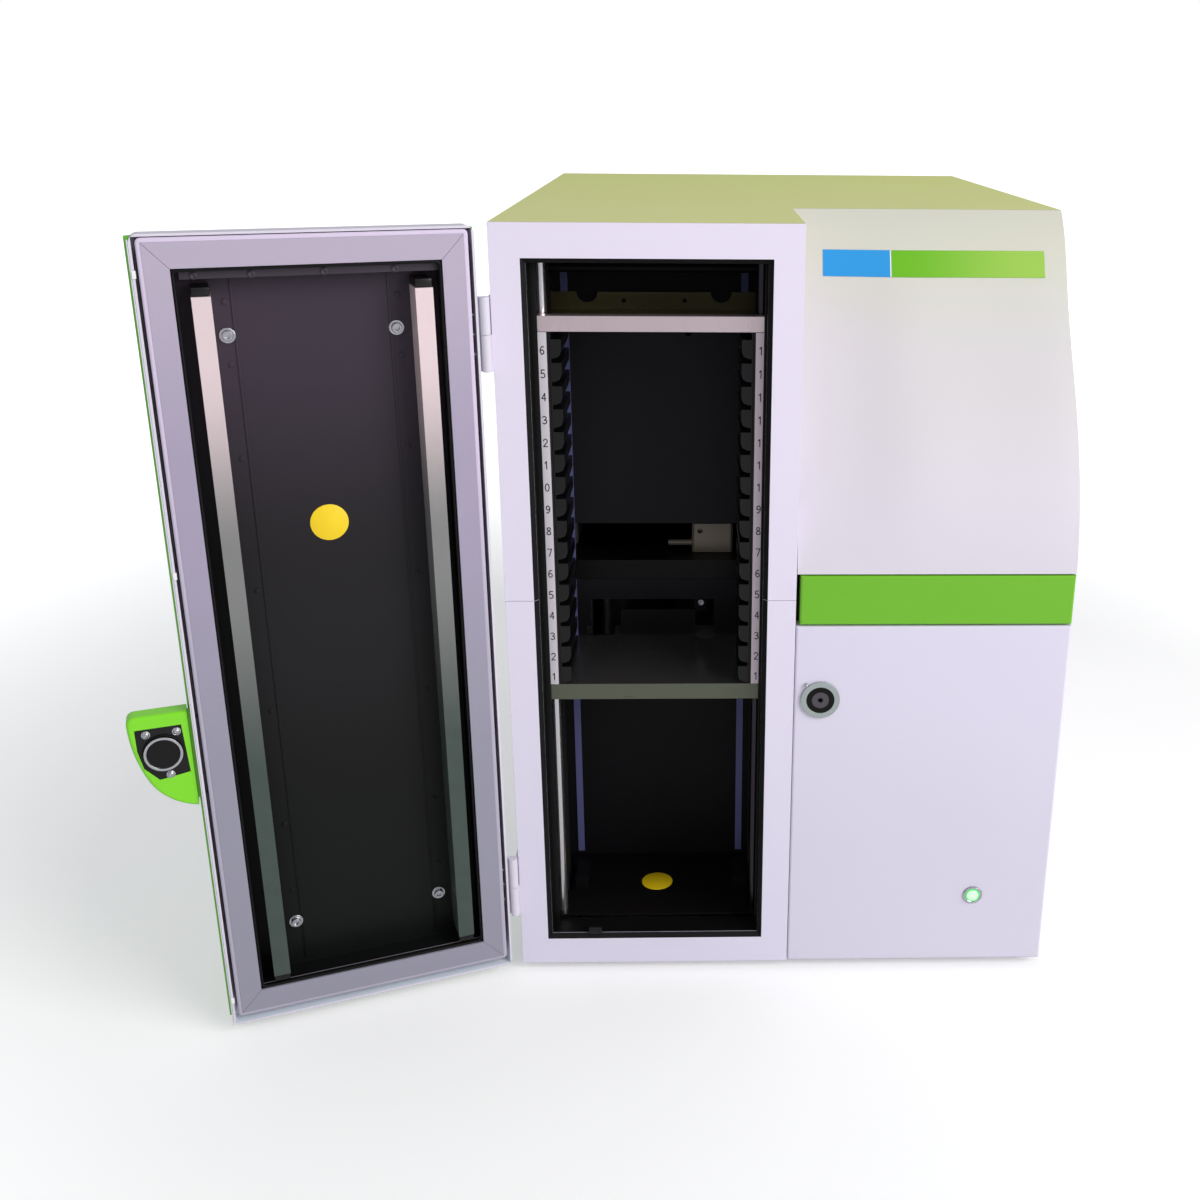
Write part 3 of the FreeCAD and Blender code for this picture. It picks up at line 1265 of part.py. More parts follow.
# the door's inner moulding: rim, channel, the seat of the gasket frame, and the deep pan
gasket_inner_left = "gasket_left + gasket_side"
gasket_inner_right = "gasket_right - gasket_side"
gasket_inner_low = "gasket_bottom + gasket_end"
gasket_inner_high = "gasket_top - gasket_end"
gasket_face = "hinge_front - gasket_clearance"
gasket_seat = f"{gasket_face} - gasket_wall"
pan_open = rectangle(gasket_inner_left, gasket_inner_right, gasket_inner_low,
                     gasket_inner_high)
border = rectangle("gasket_left", "gasket_right", "gasket_bottom", "gasket_top")
door_shell = slab("door_shell", "XZ", ("-door_edge", "rim_face"),
                  [rectangle("rim_left", "rim_right", "rim_bottom", "rim_top")], place=hung)
soften(door_shell, "Fillet", "rim_round",
       straight_edges(door_shell, "y", x=["rim_left", "rim_right"]))
extrude(door_shell, "XZ", ("-channel_depth + rim_face", "rim_face + 1"),
        [rectangle("rim_left + rim_wall", "rim_right - rim_wall", "rim_bottom + rim_wall",
                   "rim_top - rim_wall"), border], cut=True)
extrude(door_shell, "XZ", (gasket_seat, "rim_face + 1"), [border], cut=True)
extrude(door_shell, "XZ", ("-pan_floor - pan_wall", "-door_edge"),
        [rectangle(f"{gasket_inner_left} - pan_wall", f"{gasket_inner_right} + pan_wall",
                   f"{gasket_inner_low} - pan_wall", f"{gasket_inner_high} + pan_wall")])
extrude(door_shell, "XZ", ("-pan_floor", "rim_face + 1"), [pan_open], cut=True)
extrude(door_shell, "XZ", ("-door_edge", f"{gasket_seat} - pan_wall"),
        [rectangle("gasket_left + pan_wall", "gasket_right - pan_wall",
                   "gasket_bottom + pan_wall", "gasket_top - pan_wall"),
         rectangle(f"{gasket_inner_left} - pan_wall", f"{gasket_inner_right} + pan_wall",
                   f"{gasket_inner_low} - pan_wall", f"{gasket_inner_high} + pan_wall")],
        cut=True)

# the crowned outer panel, open towards the moulding
crown = [("outer_left", "-door_edge - outer_lip"),
         ("outer_left + outer_turn", "-door_edge - outer_turn_drop"),
         ("outer_left + outer_flank", "-outer_shoulder"),
         ("(outer_left + outer_right) / 2", "-outer_crown"),
         ("outer_right - outer_flank", "-outer_shoulder"),
         ("outer_right - outer_turn", "-door_edge - outer_turn_drop"),
         ("outer_right", "-door_edge - outer_lip")]


def three_arcs(spots):
    return [tuple(spots[0:3]), tuple(spots[2:5]), tuple(spots[4:7])]


outer_run = [Vector(number(a), number(b), 0) for a, b in crown]
middle = number("(outer_left + outer_right) / 2")
inner_run = []
for spot in outer_run:
    inward = 1 if spot.x < middle - 1 else -1 if spot.x > middle + 1 else 0
    inner_run.append(Vector(spot.x + inward * number("outer_wall"),
                            spot.y + number("outer_wall"), 0))
left_top = Vector(number("outer_left"), -number("door_edge"), 0)
right_top = Vector(number("outer_right"), -number("door_edge"), 0)
door_outer_panel = hung(new_body("door_outer_panel"))
extrude(door_outer_panel, "XY", ("outer_bottom", "outer_top"),
        path=three_arcs(outer_run) + [[outer_run[-1], right_top], [right_top, left_top],
                                      [left_top, outer_run[0]]])
lip_left = Vector(number("gasket_left"), -number("door_edge") + 1, 0)
lip_right = Vector(number("gasket_right"), -number("door_edge") + 1, 0)
step_left = Vector(number("gasket_left"), -number("door_edge + outer_wall"), 0)
step_right = Vector(number("gasket_right"), -number("door_edge + outer_wall"), 0)
under_left = Vector(inner_run[0].x, step_left.y, 0)
under_right = Vector(inner_run[-1].x, step_right.y, 0)
extrude(door_outer_panel, "XY", ("outer_bottom + outer_wall", "outer_top - outer_wall"),
        path=three_arcs(inner_run)
        + [[inner_run[-1], under_right], [under_right, step_right], [step_right, lip_right],
           [lip_right, lip_left], [lip_left, step_left], [step_left, under_left],
           [under_left, inner_run[0]]], cut=True)

# the handle: a moulded hook-shaped grip whose lower edge sweeps back to the door
handle_root = "outer_right + handle_gap"
root, reach = number(handle_root), number("handle_reach")
top, low = number("handle_top"), number("handle_bottom")
corner = number("handle_corner")


def arc_between(start, elbow, stop):
    # the arc that touches both lines from the elbow
    middle = (start + stop) * 0.5
    rise, half = (elbow - middle).Length, (stop - start).Length / 2
    bulge = half * math.tan(math.atan2(rise, half) / 2)
    return (start, middle + (elbow - middle) * (bulge / rise), stop)


def two_arcs(start, first_way, stop, last_way):
    # two arcs that leave and arrive along the given ways and meet smoothly
    across, ways = stop - start, first_way + last_way
    square, slope = ways.dot(ways) - 4, -2 * across.dot(ways)
    arm = (-slope - math.sqrt(slope ** 2 - 4 * square * across.dot(across))) / (2 * square)
    near, far = start + first_way * arm, stop - last_way * arm
    meeting = (near + far) * 0.5
    return [arc_between(start, near, meeting), arc_between(meeting, far, stop)]


handle_start, handle_end = Vector(root, top, 0), Vector(root, low, 0)
corner_start, corner_end = Vector(reach - corner, top, 0), Vector(reach, top - corner, 0)
heel = math.radians(number("handle_heel_angle"))
sweep = two_arcs(corner_end, Vector(0, -1, 0), handle_end,
                 Vector(-math.cos(heel), -math.sin(heel), 0))
door_handle = hung(new_body("door_handle"))
extrude(door_handle, "XZ", ("-door_edge", "-handle_face"),
        path=[[handle_start, corner_start],
              arc_between(corner_start, Vector(reach, top, 0), corner_end)] + sweep
        + [[handle_end, handle_start]])
front_edges = [f"Edge{order}" for order, edge in enumerate(door_handle.Tip.Shape.Edges, 1)
               if abs(edge.BoundBox.YMin + number("handle_face")) < 0.01
               and abs(edge.BoundBox.YMax + number("handle_face")) < 0.01
               and edge.BoundBox.XMax > root + 0.5]
soften(door_handle, "Fillet", "handle_round", front_edges)
extrude(door_handle, "XZ", ("-door_edge", "-handle_face - 4"),
        [rectangle("rim_right", handle_root, "handle_bottom + 6", "handle_top - 4")])
lock_a = "lock_across + hinge_across"
armature = (lock_a, "lock_height")
insert = [(f"{lock_a} + armature_radius * 1.3", "handle_top - armature_radius * 0.733"), (f"{lock_a} - armature_radius * 1.067", "handle_top - armature_radius * 0.733"),
          (f"{lock_a} - armature_radius * 1.24", "lock_height - armature_radius * 1.367"), (f"{lock_a} + armature_radius * 0.367", "lock_height - armature_radius * 1.6"),
          (f"{lock_a} + armature_radius * 1.067", "lock_height - armature_radius * 0.8"), (f"{lock_a} + armature_radius * 1.287", "lock_height + armature_radius * 0.267")]
insert_floor = "-handle_face - insert_depth"
extrude(door_handle, "XZ", (insert_floor, "-handle_face + 1"), [insert], cut=True)
grip = [(f"{lock_a} + armature_radius * 1", "handle_top - armature_radius * 1.067"), (f"{lock_a} - armature_radius * 0.933", "handle_top - armature_radius * 1.067"),
        (f"{lock_a} - armature_radius * 0.933", "lock_height - armature_radius * 1.133"), (f"{lock_a} + armature_radius * 0.233", "lock_height - armature_radius * 1.267"),
        (f"{lock_a} + armature_radius * 0.8", "lock_height - armature_radius * 0.6"), (f"{lock_a} + armature_radius * 1", "lock_height + armature_radius * 0.333")]
extrude(door_handle, "XZ", ("-door_edge - 1", f"{insert_floor} - 3"), [grip], cut=True)

latch_plate = slab("latch_plate", "XZ", (insert_floor, "-handle_face - 0.4"), [insert],
                   [(lock_a, "lock_height", "armature_radius + running_fit")], place=hung)
soften(latch_plate, "Fillet", "3", straight_edges(latch_plate, "y"))
latch_armature = hung(new_body("latch_armature"))
lock_meets = "hinge_front - lock_proud - gasket_clearance"
turn(latch_armature, "Y", (lock_a, "0", "lock_height"),
     [("0", insert_floor), ("armature_radius", insert_floor), ("armature_radius", lock_meets),
      ("armature_bore", lock_meets), ("armature_bore", f"{lock_meets} - 1"),
      ("0", f"{lock_meets} - 1")])

# the gasket frame: four mitred flat pieces on the seat
gasket_frame = slab(
    "gasket_frame", "XZ", (gasket_seat, gasket_face),
    [[("gasket_left", "gasket_bottom + mitre_gap"),
      (gasket_inner_left, f"{gasket_inner_low} + mitre_gap"),
      (gasket_inner_left, f"{gasket_inner_high} - mitre_gap"),
      ("gasket_left", "gasket_top - mitre_gap")],
     [("gasket_right", "gasket_bottom + mitre_gap"), ("gasket_right", "gasket_top - mitre_gap"),
      (gasket_inner_right, f"{gasket_inner_high} - mitre_gap"),
      (gasket_inner_right, f"{gasket_inner_low} + mitre_gap")],
     [("gasket_left", "gasket_bottom"), ("gasket_right", "gasket_bottom"),
      (gasket_inner_right, gasket_inner_low), (gasket_inner_left, gasket_inner_low)],
     [("gasket_left", "gasket_top"), (gasket_inner_left, gasket_inner_high),
      (gasket_inner_right, gasket_inner_high), ("gasket_right", "gasket_top")]], place=hung)

# the two hollow strips that stand on the pan floor and hold the stack back
pusher_strips = hung(new_body("pusher_strips"))
strip_sides = [(left, f"{left} + pusher_width") for left in ("strip_left", "strip_right")]
extrude(pusher_strips, "XZ", ("-pan_floor", gasket_face),
        [rectangle(left, right, "pusher_bottom", "pusher_top") for left, right in strip_sides])
extrude(pusher_strips, "XZ", ("-pan_floor - 1", f"{gasket_face} - rack_wall"),
        [rectangle(f"{left} + rack_wall", f"{right} - rack_wall", "pusher_bottom + rack_wall",
                   "pusher_top - rack_wall") for left, right in strip_sides], cut=True)

top_clamp_strip = slab("top_clamp_strip", "XZ", ("-clamp_face - clamp_wall", "-clamp_face"),
                       [rectangle(gasket_inner_left, "clamp_right", "clamp_bottom",
                                  gasket_inner_high)], place=hung)

# the hinges: each leaf carries half of the knuckle, and the pin is fixed in the lower half
cabinet_hinge_leaves = carried(new_body("cabinet_hinge_leaves"))
door_hinge_leaves = hung(new_body("door_hinge_leaves"))
for low in ("lower_hinge", "upper_hinge"):
    middle = f"{low} + hinge_length / 2"
    high = f"{low} + hinge_length"
    for start, stop, radius in ((low, middle, "knuckle_radius"),
                                (middle, high, "hinge_pin_radius")):
        extrude(cabinet_hinge_leaves, "XY", (start, stop),
                circles=[("-hinge_across", "-hinge_front", radius)])
    extrude(cabinet_hinge_leaves, "XY", (low, middle),
            [rectangle("-hinge_leaf", "0", "-hinge_front", "leaf_reach")])
    extrude(cabinet_hinge_leaves, "XY", (middle, high),
            [rectangle("-hinge_leaf", "0", "knuckle_radius - hinge_front + 1", "leaf_reach")])
    door_low = f"{middle} + knuckle_gap"
    extrude(door_hinge_leaves, "XY", (door_low, high),
            circles=[("0", "0", "knuckle_radius")])
    extrude(door_hinge_leaves, "XY", (door_low, high),
            [rectangle("0", "rim_left", "-knuckle_radius", "hinge_leaf - knuckle_radius")])
    extrude(door_hinge_leaves, "XY", (low, high),
            [rectangle("rim_left - hinge_leaf", "rim_left", "-door_leaf_reach",
                       "hinge_leaf - knuckle_radius - 1")])
    extrude(door_hinge_leaves, "XY", (door_low, f"{high} + 1"),
            circles=[("0", "0", "hinge_pin_radius + running_fit")], cut=True)

# every object is built, and each piece is whole, before anything is written
doc.recompute()
for thing in doc.Objects:
    if "Invalid" in thing.State or "Error" in thing.State:
        raise SystemExit(f"{thing.Label} failed")
pieces = [thing for thing in doc.Objects if thing.TypeId == "PartDesign::Body"]
for piece in pieces:
    if piece.Shape.isNull() or not piece.Shape.isValid():
        raise SystemExit(f"{piece.Label} has no valid shape")
    if not piece.Shape.Solids:
        raise SystemExit(f"{piece.Label} has no solid")

os.makedirs("parts", exist_ok=True)
for piece in pieces:
    piece.Shape.exportStep(os.path.join("parts", piece.Label + ".step"))
print(len(pieces), "pieces")
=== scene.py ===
import math

import bmesh
import bpy
from mathutils import Matrix, Vector
from mathutils.bvhtree import BVHTree


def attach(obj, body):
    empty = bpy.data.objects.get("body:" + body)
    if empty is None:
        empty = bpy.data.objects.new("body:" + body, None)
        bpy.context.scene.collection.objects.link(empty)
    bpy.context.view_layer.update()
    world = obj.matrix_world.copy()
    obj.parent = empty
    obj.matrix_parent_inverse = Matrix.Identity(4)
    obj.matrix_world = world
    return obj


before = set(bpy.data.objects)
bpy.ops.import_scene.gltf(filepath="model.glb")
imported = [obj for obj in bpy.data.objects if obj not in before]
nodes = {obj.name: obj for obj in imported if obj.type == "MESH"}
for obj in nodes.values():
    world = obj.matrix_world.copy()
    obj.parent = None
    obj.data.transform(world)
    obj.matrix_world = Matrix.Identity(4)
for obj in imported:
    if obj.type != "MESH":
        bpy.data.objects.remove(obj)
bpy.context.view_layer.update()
scene = bpy.context.scene
MM = 0.001

# sockets of the colour mix node
MIX_SHARE = 0
MIX_FIRST = 6
MIX_SECOND = 7
MIX_RESULT = 2

# how far the roughness strays from its middle value, a coat's own roughness, and how deep
# the fine bump goes, in metres
ROUGH_SPREAD = 0.07
COAT_ROUGH = 0.15
BUMP_DEPTH = 0.0006

# the cabinet's front left corner and the door's hinge line, in metres
CORNER = (-0.250, -0.345)
HINGE = (-0.2545, -0.348)
OPEN_TURN = math.radians(-160)


def linear(rgb):
    # a colour seen on screen, 0 to 255, as a linear one
    parts = [value / 255 for value in rgb]
    return tuple(p / 12.92 if p <= 0.04045 else ((p + 0.055) / 1.055) ** 2.4 for p in parts)


def wire(tree, start, stop):
    tree.links.new(start, stop)


def node(tree, kind, **values):
    # a new shader node with the named sockets or settings filled in
    made = tree.nodes.new(kind)
    for key, value in values.items():
        if key in made.inputs:
            made.inputs[key].default_value = value
        else:
            setattr(made, key, value)
    return made


def surface(name, rgb, rough=0.45, metal=0.0, vary=0.06, grain=900.0, bump=0.03,
            streak=None, fades=(), coat=0.0, glow=None, spec=0.5, blotch=9.0, corner=0.5):
    # a finish with its own mottling, roughness, fine bump and softened corners
    material = bpy.data.materials.new(name)
    material.use_nodes = True
    tree = material.node_tree
    shader = tree.nodes["Principled BSDF"]
    place = node(tree, "ShaderNodeTexCoord").outputs["Object"]
    if streak:
        mapping = node(tree, "ShaderNodeMapping")
        mapping.inputs["Scale"].default_value = streak
        wire(tree, place, mapping.inputs["Vector"])
        fine_place = mapping.outputs["Vector"]
    else:
        fine_place = place
    broad = node(tree, "ShaderNodeTexNoise", Scale=blotch, Detail=4.0, Roughness=0.6)
    wire(tree, place, broad.inputs["Vector"])
    fine = node(tree, "ShaderNodeTexNoise", Scale=grain, Detail=3.0, Roughness=0.55)
    wire(tree, fine_place, fine.inputs["Vector"])
    base = linear(rgb)
    low = tuple(max(0.0, c * (1 - vary)) for c in base) + (1,)
    high = tuple(min(1.0, c * (1 + vary)) for c in base) + (1,)
    mottle = node(tree, "ShaderNodeMix", data_type="RGBA")
    mottle.inputs[MIX_FIRST].default_value = low
    mottle.inputs[MIX_SECOND].default_value = high
    wire(tree, broad.outputs["Fac"], mottle.inputs[MIX_SHARE])
    colour = mottle.outputs[MIX_RESULT]
    for axis, start, stop, other in fades:
        # another colour comes in along one axis of the object; many finishes below use this for
        # painted light and shade
        split = node(tree, "ShaderNodeSeparateXYZ")
        wire(tree, place, split.inputs[0])
        span = node(tree, "ShaderNodeMapRange")
        span.interpolation_type = "SMOOTHSTEP"
        span.inputs["From Min"].default_value = start
        span.inputs["From Max"].default_value = stop
        wire(tree, split.outputs[axis], span.inputs["Value"])
        mix = node(tree, "ShaderNodeMix", data_type="RGBA")
        mix.inputs[MIX_SECOND].default_value = linear(other) + (1,)
        wire(tree, span.outputs["Result"], mix.inputs[MIX_SHARE])
        wire(tree, colour, mix.inputs[MIX_FIRST])
        colour = mix.outputs[MIX_RESULT]
    wire(tree, colour, shader.inputs["Base Color"])
    shine = node(tree, "ShaderNodeMapRange")
    shine.inputs["To Min"].default_value = max(0.02, rough - ROUGH_SPREAD)
    shine.inputs["To Max"].default_value = min(1.0, rough + ROUGH_SPREAD)
    wire(tree, (fine if streak else broad).outputs["Fac"], shine.inputs["Value"])
    wire(tree, shine.outputs["Result"], shader.inputs["Roughness"])
    relief = node(tree, "ShaderNodeBump", Strength=bump, Distance=BUMP_DEPTH)
    wire(tree, fine.outputs["Fac"], relief.inputs["Height"])
    softened = node(tree, "ShaderNodeBevel", Radius=corner * MM)
    wire(tree, softened.outputs["Normal"], relief.inputs["Normal"])
    wire(tree, relief.outputs["Normal"], shader.inputs["Normal"])
    shader.inputs["Metallic"].default_value = metal
    shader.inputs["Coat Weight"].default_value = coat
    shader.inputs["Coat Roughness"].default_value = COAT_ROUGH
    shader.inputs["Specular IOR Level"].default_value = spec
    if glow:
        shader.inputs["Emission Color"].default_value = linear(glow[0]) + (1,)
        shader.inputs["Emission Strength"].default_value = glow[1]
    return material


# painted light: the lavender paint grows lighter towards the top
lavender = surface("lavender_paint", (226, 220, 239), 0.4, vary=0.015, grain=700, bump=0.05,
                   fades=[(2, 0.05, 0.60, (234, 225, 244))], spec=0.4)
# painted light: the panel grows lighter towards the top
panel_white = surface("panel_white", (219, 214, 231), 0.42, vary=0.015, grain=650, bump=0.07,
                      fades=[(2, 0.10, 0.34, (223, 217, 236))], spec=0.4)
# painted light: the hood turns greyer and then olive towards its top, where it faces up
hood_white = surface("hood_white", (220, 214, 226), 0.5, vary=0.015, grain=650, bump=0.06,
                     fades=[(2, 0.42, 0.56, (216, 212, 215)), (2, 0.56, 0.67, (210, 209, 196))],
                     spec=0.25)
olive = surface("olive_paint", (221, 224, 142), 0.45, vary=0.03, grain=800, bump=0.05,
                fades=[(1, -0.30, 0.30, (222, 228, 132))], spec=0.3)
band_green = surface("band_green", (113, 186, 38), 0.36, vary=0.03, grain=900, bump=0.04,
                     coat=0.1, spec=0.4)
bright_green = surface("bright_green", (128, 222, 30), 0.32, vary=0.04, grain=900, bump=0.04,
                       coat=0.2)
side_green = surface("outer_panel_green", (112, 200, 48), 0.34, vary=0.03, grain=700,
                     bump=0.05, coat=0.2)
rim_white = surface("rim_white", (218, 212, 226), 0.4, vary=0.02, grain=700, bump=0.05)
# painted shade: the channel is white paint shown grey, with painted light where it turns lighter
# at its bottom and top ends
channel_painted_shade = surface("channel_painted_shade", (170, 164, 176), 0.5, vary=0.04, grain=700, bump=0.05,
                       fades=[(2, 0.05, 0.01, (232, 238, 248)), (2, 0.67, 0.69, (226, 218, 230))],
                       spec=0.3)
# painted light: the gasket grows lighter towards the top
gasket_grey = surface("gasket_grey", (150, 148, 164), 0.55, vary=0.03, grain=900, bump=0.05,
                      fades=[(2, 0.22, 0.50, (166, 156, 180)), (2, 0.50, 0.67, (181, 170, 190))],
                      spec=0.3)
# painted light: the lip grows lighter towards the top
gasket_lip = surface("gasket_lip", (180, 174, 192), 0.45, vary=0.03, grain=900, bump=0.04,
                     fades=[(2, 0.30, 0.60, (214, 200, 224))], spec=0.3)
# painted light: the door's black grows lighter towards the top, on the pan, its rivets and folds
door_black = surface("door_black", (19, 20, 20), 0.42, vary=0.10, grain=1200, bump=0.08,
                     fades=[(2, 0.16, 0.40, (33, 31, 34)), (2, 0.40, 0.64, (62, 53, 65))],
                     spec=0.16)
clamp_dark = surface("clamp_strip_paint", (60, 52, 63), 0.38, vary=0.08, grain=1200, bump=0.06,
                     fades=[(2, 0.30, 0.08, (34, 29, 32))], spec=0.3)
deep_black = surface("deep_black", (15, 14, 16), 0.5, vary=0.12, grain=1200, bump=0.05,
                     spec=0.15)
# painted shade: the liner turns darker below 0.30 m
liner_black = surface("liner_black", (30, 28, 33), 0.5, vary=0.12, grain=1200, bump=0.05,
                      fades=[(2, 0.36, 0.30, (20, 19, 22))], spec=0.12)
floor_black = surface("floor_black", (18, 16, 17), 0.34, vary=0.1, grain=900, bump=0.03,
                      spec=0.12)
gloss_black = surface("gloss_black", (16, 15, 18), 0.3, vary=0.1, grain=900, bump=0.03,
                      spec=0.35)
rack_black = surface("rack_black", (14, 13, 15), 0.3, vary=0.15, grain=700, bump=0.1, spec=0.3,
                     corner=0.9)
trim_black = surface("trim_black", (11, 11, 12), 0.5, vary=0.1, grain=1400, bump=0.15,
                     spec=0.2)
rubber = surface("soft_rubber", (20, 19, 21), 0.75, vary=0.12, grain=1500, bump=0.2, spec=0.25)
brushed_bar = surface("brushed_bar", (222, 204, 210), 0.3, metal=0.85, vary=0.04, grain=700,
                      bump=0.1, streak=(1.0, 1.0, 0.05), blotch=40.0)
# painted light: the strips go from dark at the bottom through grey to pale pink at the top
strip_steel = surface("strip_steel", (72, 84, 80), 0.42, metal=0.35, vary=0.16, grain=450,
                      bump=0.05, blotch=70.0,
                      fades=[(2, 0.24, 0.42, (134, 134, 134)),
                             (2, 0.44, 0.60, (232, 212, 216))])
tray_steel = surface("tray_steel", (112, 108, 110), 0.24, metal=0.8, vary=0.05, grain=420,
                     bump=0.02, blotch=14.0)
tray_lip = surface("tray_lip", (94, 98, 84), 0.3, metal=0.6, vary=0.06, grain=500, bump=0.06,
                   streak=(0.03, 1.0, 1.0), blotch=30.0)
olive_sheet = surface("olive_sheet", (94, 88, 56), 0.3, metal=0.5, vary=0.1, grain=500,
                      bump=0.05, blotch=30.0)
dark_sheet = surface("dark_sheet", (38, 34, 34), 0.34, metal=0.4, vary=0.12, grain=500,
                     bump=0.05, spec=0.2)
polished = surface("polished_steel", (196, 196, 202), 0.14, metal=1.0, vary=0.03, grain=600,
                   bump=0.03)
# painted reflection: the left column is painted bright and the right one dark
column_steel = surface("column_steel", (214, 210, 214), 0.2, metal=0.95, vary=0.03, grain=600,
                       bump=0.03, fades=[(0, -0.20, -0.05, (58, 55, 60))])
machined = surface("machined_block", (126, 117, 106), 0.42, metal=0.3, vary=0.05, grain=600,
                   bump=0.1, streak=(1.0, 0.1, 1.0), spec=0.3)
cast_grey = surface("cast_grey", (120, 122, 126), 0.5, metal=0.4, vary=0.05, grain=700,
                    bump=0.15)
zinc = surface("zinc_steel", (168, 168, 172), 0.42, metal=0.6, vary=0.06, grain=350, bump=0.08)
blue_strip = surface("blue_strip", (104, 106, 156), 0.5, vary=0.06, grain=900, bump=0.05,
                     spec=0.2)
# painted light: the right strip is painted lighter and pinker than the left
number_grey = surface("number_grey", (206, 200, 208), 0.5, vary=0.02, grain=900, bump=0.03,
                      fades=[(0, -0.20, -0.05, (218, 202, 214))], spec=0.2)
ink = surface("number_ink", (30, 28, 34), 0.6, vary=0.05, grain=900, bump=0.02, spec=0.2)
screw_steel = surface("screw_steel", (190, 190, 196), 0.24, metal=0.95, vary=0.05, grain=900,
                      bump=0.05)
# painted highlight: a pale line for the edge of the pan's black mouth
pan_edge_highlight = surface("pan_edge_highlight", (104, 98, 108), 0.4, vary=0.05, grain=900, bump=0.03)
dull_screw = surface("dull_screw", (58, 56, 58), 0.4, metal=0.7, vary=0.08, grain=900,
                     bump=0.05)
yellow = surface("sticker_yellow", (248, 212, 22), 0.45, vary=0.04, grain=900, bump=0.03,
                 blotch=60.0)
plate_blue = surface("plate_blue", (46, 152, 220), 0.36, vary=0.03, grain=900, bump=0.03,
                     spec=0.3)
plate_green = surface("plate_green", (108, 184, 34), 0.36, vary=0.03, grain=900, bump=0.03,
                      fades=[(0, 0.10, 0.22, (156, 200, 82))], spec=0.3)
plate_white = surface("plate_white", (240, 240, 240), 0.4, vary=0.01, grain=900, bump=0.02)
board_green = surface("board_green", (30, 96, 52), 0.4, vary=0.08, grain=900, bump=0.1)
lit_green = surface("lit_green", (64, 196, 92), 0.2, vary=0.06, grain=600, bump=0.02,
                    glow=((90, 235, 120), 0.6))
lit_core = surface("lit_core", (150, 240, 160), 0.25, vary=0.04, grain=600, bump=0.02,
                   glow=((190, 255, 190), 0.9))
lock_grey = surface("lock_grey", (172, 180, 180), 0.24, metal=0.55, vary=0.05, grain=900,
                    bump=0.05)
core_grey = surface("core_grey", (84, 80, 88), 0.38, metal=0.5, vary=0.06, grain=900, bump=0.1)
tube_steel = surface("tube_steel", (150, 152, 158), 0.3, metal=0.9, vary=0.04, grain=600,
                     bump=0.05)

finishes = {
    "base_tray": zinc, "rubber_feet": rubber, "left_side_panel": lavender,
    "right_side_panel": hood_white, "tower_side_panel": lavender, "top_cover": olive,
    "rear_panel": lavender, "upper_bezel": lavender, "lower_bezel": lavender,
    "opening_trim": trim_black, "chassis_front_plate": deep_black, "hood_cover": hood_white,
    "accent_band": band_green, "lower_front_panel": panel_white, "stacker_liner": liner_black,
    "stacker_floor": floor_black, "rear_wall_upper": liner_black,
    "rear_wall_lower": liner_black, "transfer_shelf": floor_black,
    "guide_strips": blue_strip, "guide_columns": column_steel, "magnet_lock_housing": lock_grey,
    "magnet_lock_insulator": trim_black, "magnet_lock_core": core_grey,
    "cabinet_hinge_leaves": rim_white, "lift_belts": rubber, "bearing_brackets": floor_black,
    "lift_motor": cast_grey, "detector_base": cast_grey, "detector_head": cast_grey,
    "photomultiplier_tubes": tube_steel, "carriage_rail": polished, "power_supply": zinc,
    "circuit_boards": board_green, "fan_housing": deep_black, "power_inlet": trim_black,
    "power_button": lit_green, "door_sensor_pin": polished, "drive_shaft": dull_screw,
    "idler_shaft": deep_black, "plate_carriage": machined, "fan_rotor": deep_black,
    "mains_switch": gloss_black, "magazine_top_bar": brushed_bar,
    "magazine_top_plate": olive_sheet, "magazine_tray": tray_steel,
    "magazine_side_plates": dark_sheet, "rack_left": rack_black, "rack_right": rack_black,
    "guide_bushings": trim_black, "door_shell": door_black, "door_outer_panel": side_green,
    "door_handle": bright_green, "gasket_frame": gasket_grey, "pusher_strips": strip_steel,
    "top_clamp_strip": clamp_dark, "latch_plate": gloss_black, "latch_armature": polished,
    "door_hinge_leaves": rim_white,
}
for name, thing in nodes.items():
    thing.data.materials.clear()
    thing.data.materials.append(finishes[name])
    for face in thing.data.polygons:
        face.material_index = 0

# how far a face's normal has to lean to count as sloped, or as facing forward
SLOPED = 0.6
FORWARD = 0.9

# the bezels' sloped inner edges are black like the trim behind them
for name in ("upper_bezel", "lower_bezel"):
    bezel = nodes[name].data
    bezel.materials.append(trim_black)
    for face in bezel.polygons:
        inward = max(abs(face.normal.x), abs(face.normal.z))
        if face.normal.y < -SLOPED and inward > SLOPED:
            face.material_index = 1

# the tray's forward-facing lip is rougher than its top, and painted darker and greener as painted
# shade
tray = nodes["magazine_tray"].data
tray.materials.append(tray_lip)
for face in tray.polygons:
    if face.normal.y < -FORWARD:
        face.material_index = 1

cabinet_place = Matrix.Translation(Vector((*CORNER, 0)))
door_place = Matrix.Translation(Vector((*HINGE, 0))) @ Matrix.Rotation(OPEN_TURN, 4, "Z")
door_inverse = door_place.inverted()

# the door's shell is black inside a white rim, with a white-painted channel between the two that
# is shown grey as painted shade:
# the left, right, bottom and top of what each of them surrounds, in millimetres
INSIDE_RIM = (7.2, 255.3, 5.3, 691.2)
INSIDE_CHANNEL = (14.2, 248.8, 16.2, 686.8)


def beyond(bounds, a, z):
    left, right, bottom, top = bounds
    return a < left or a > right or z < bottom or z > top


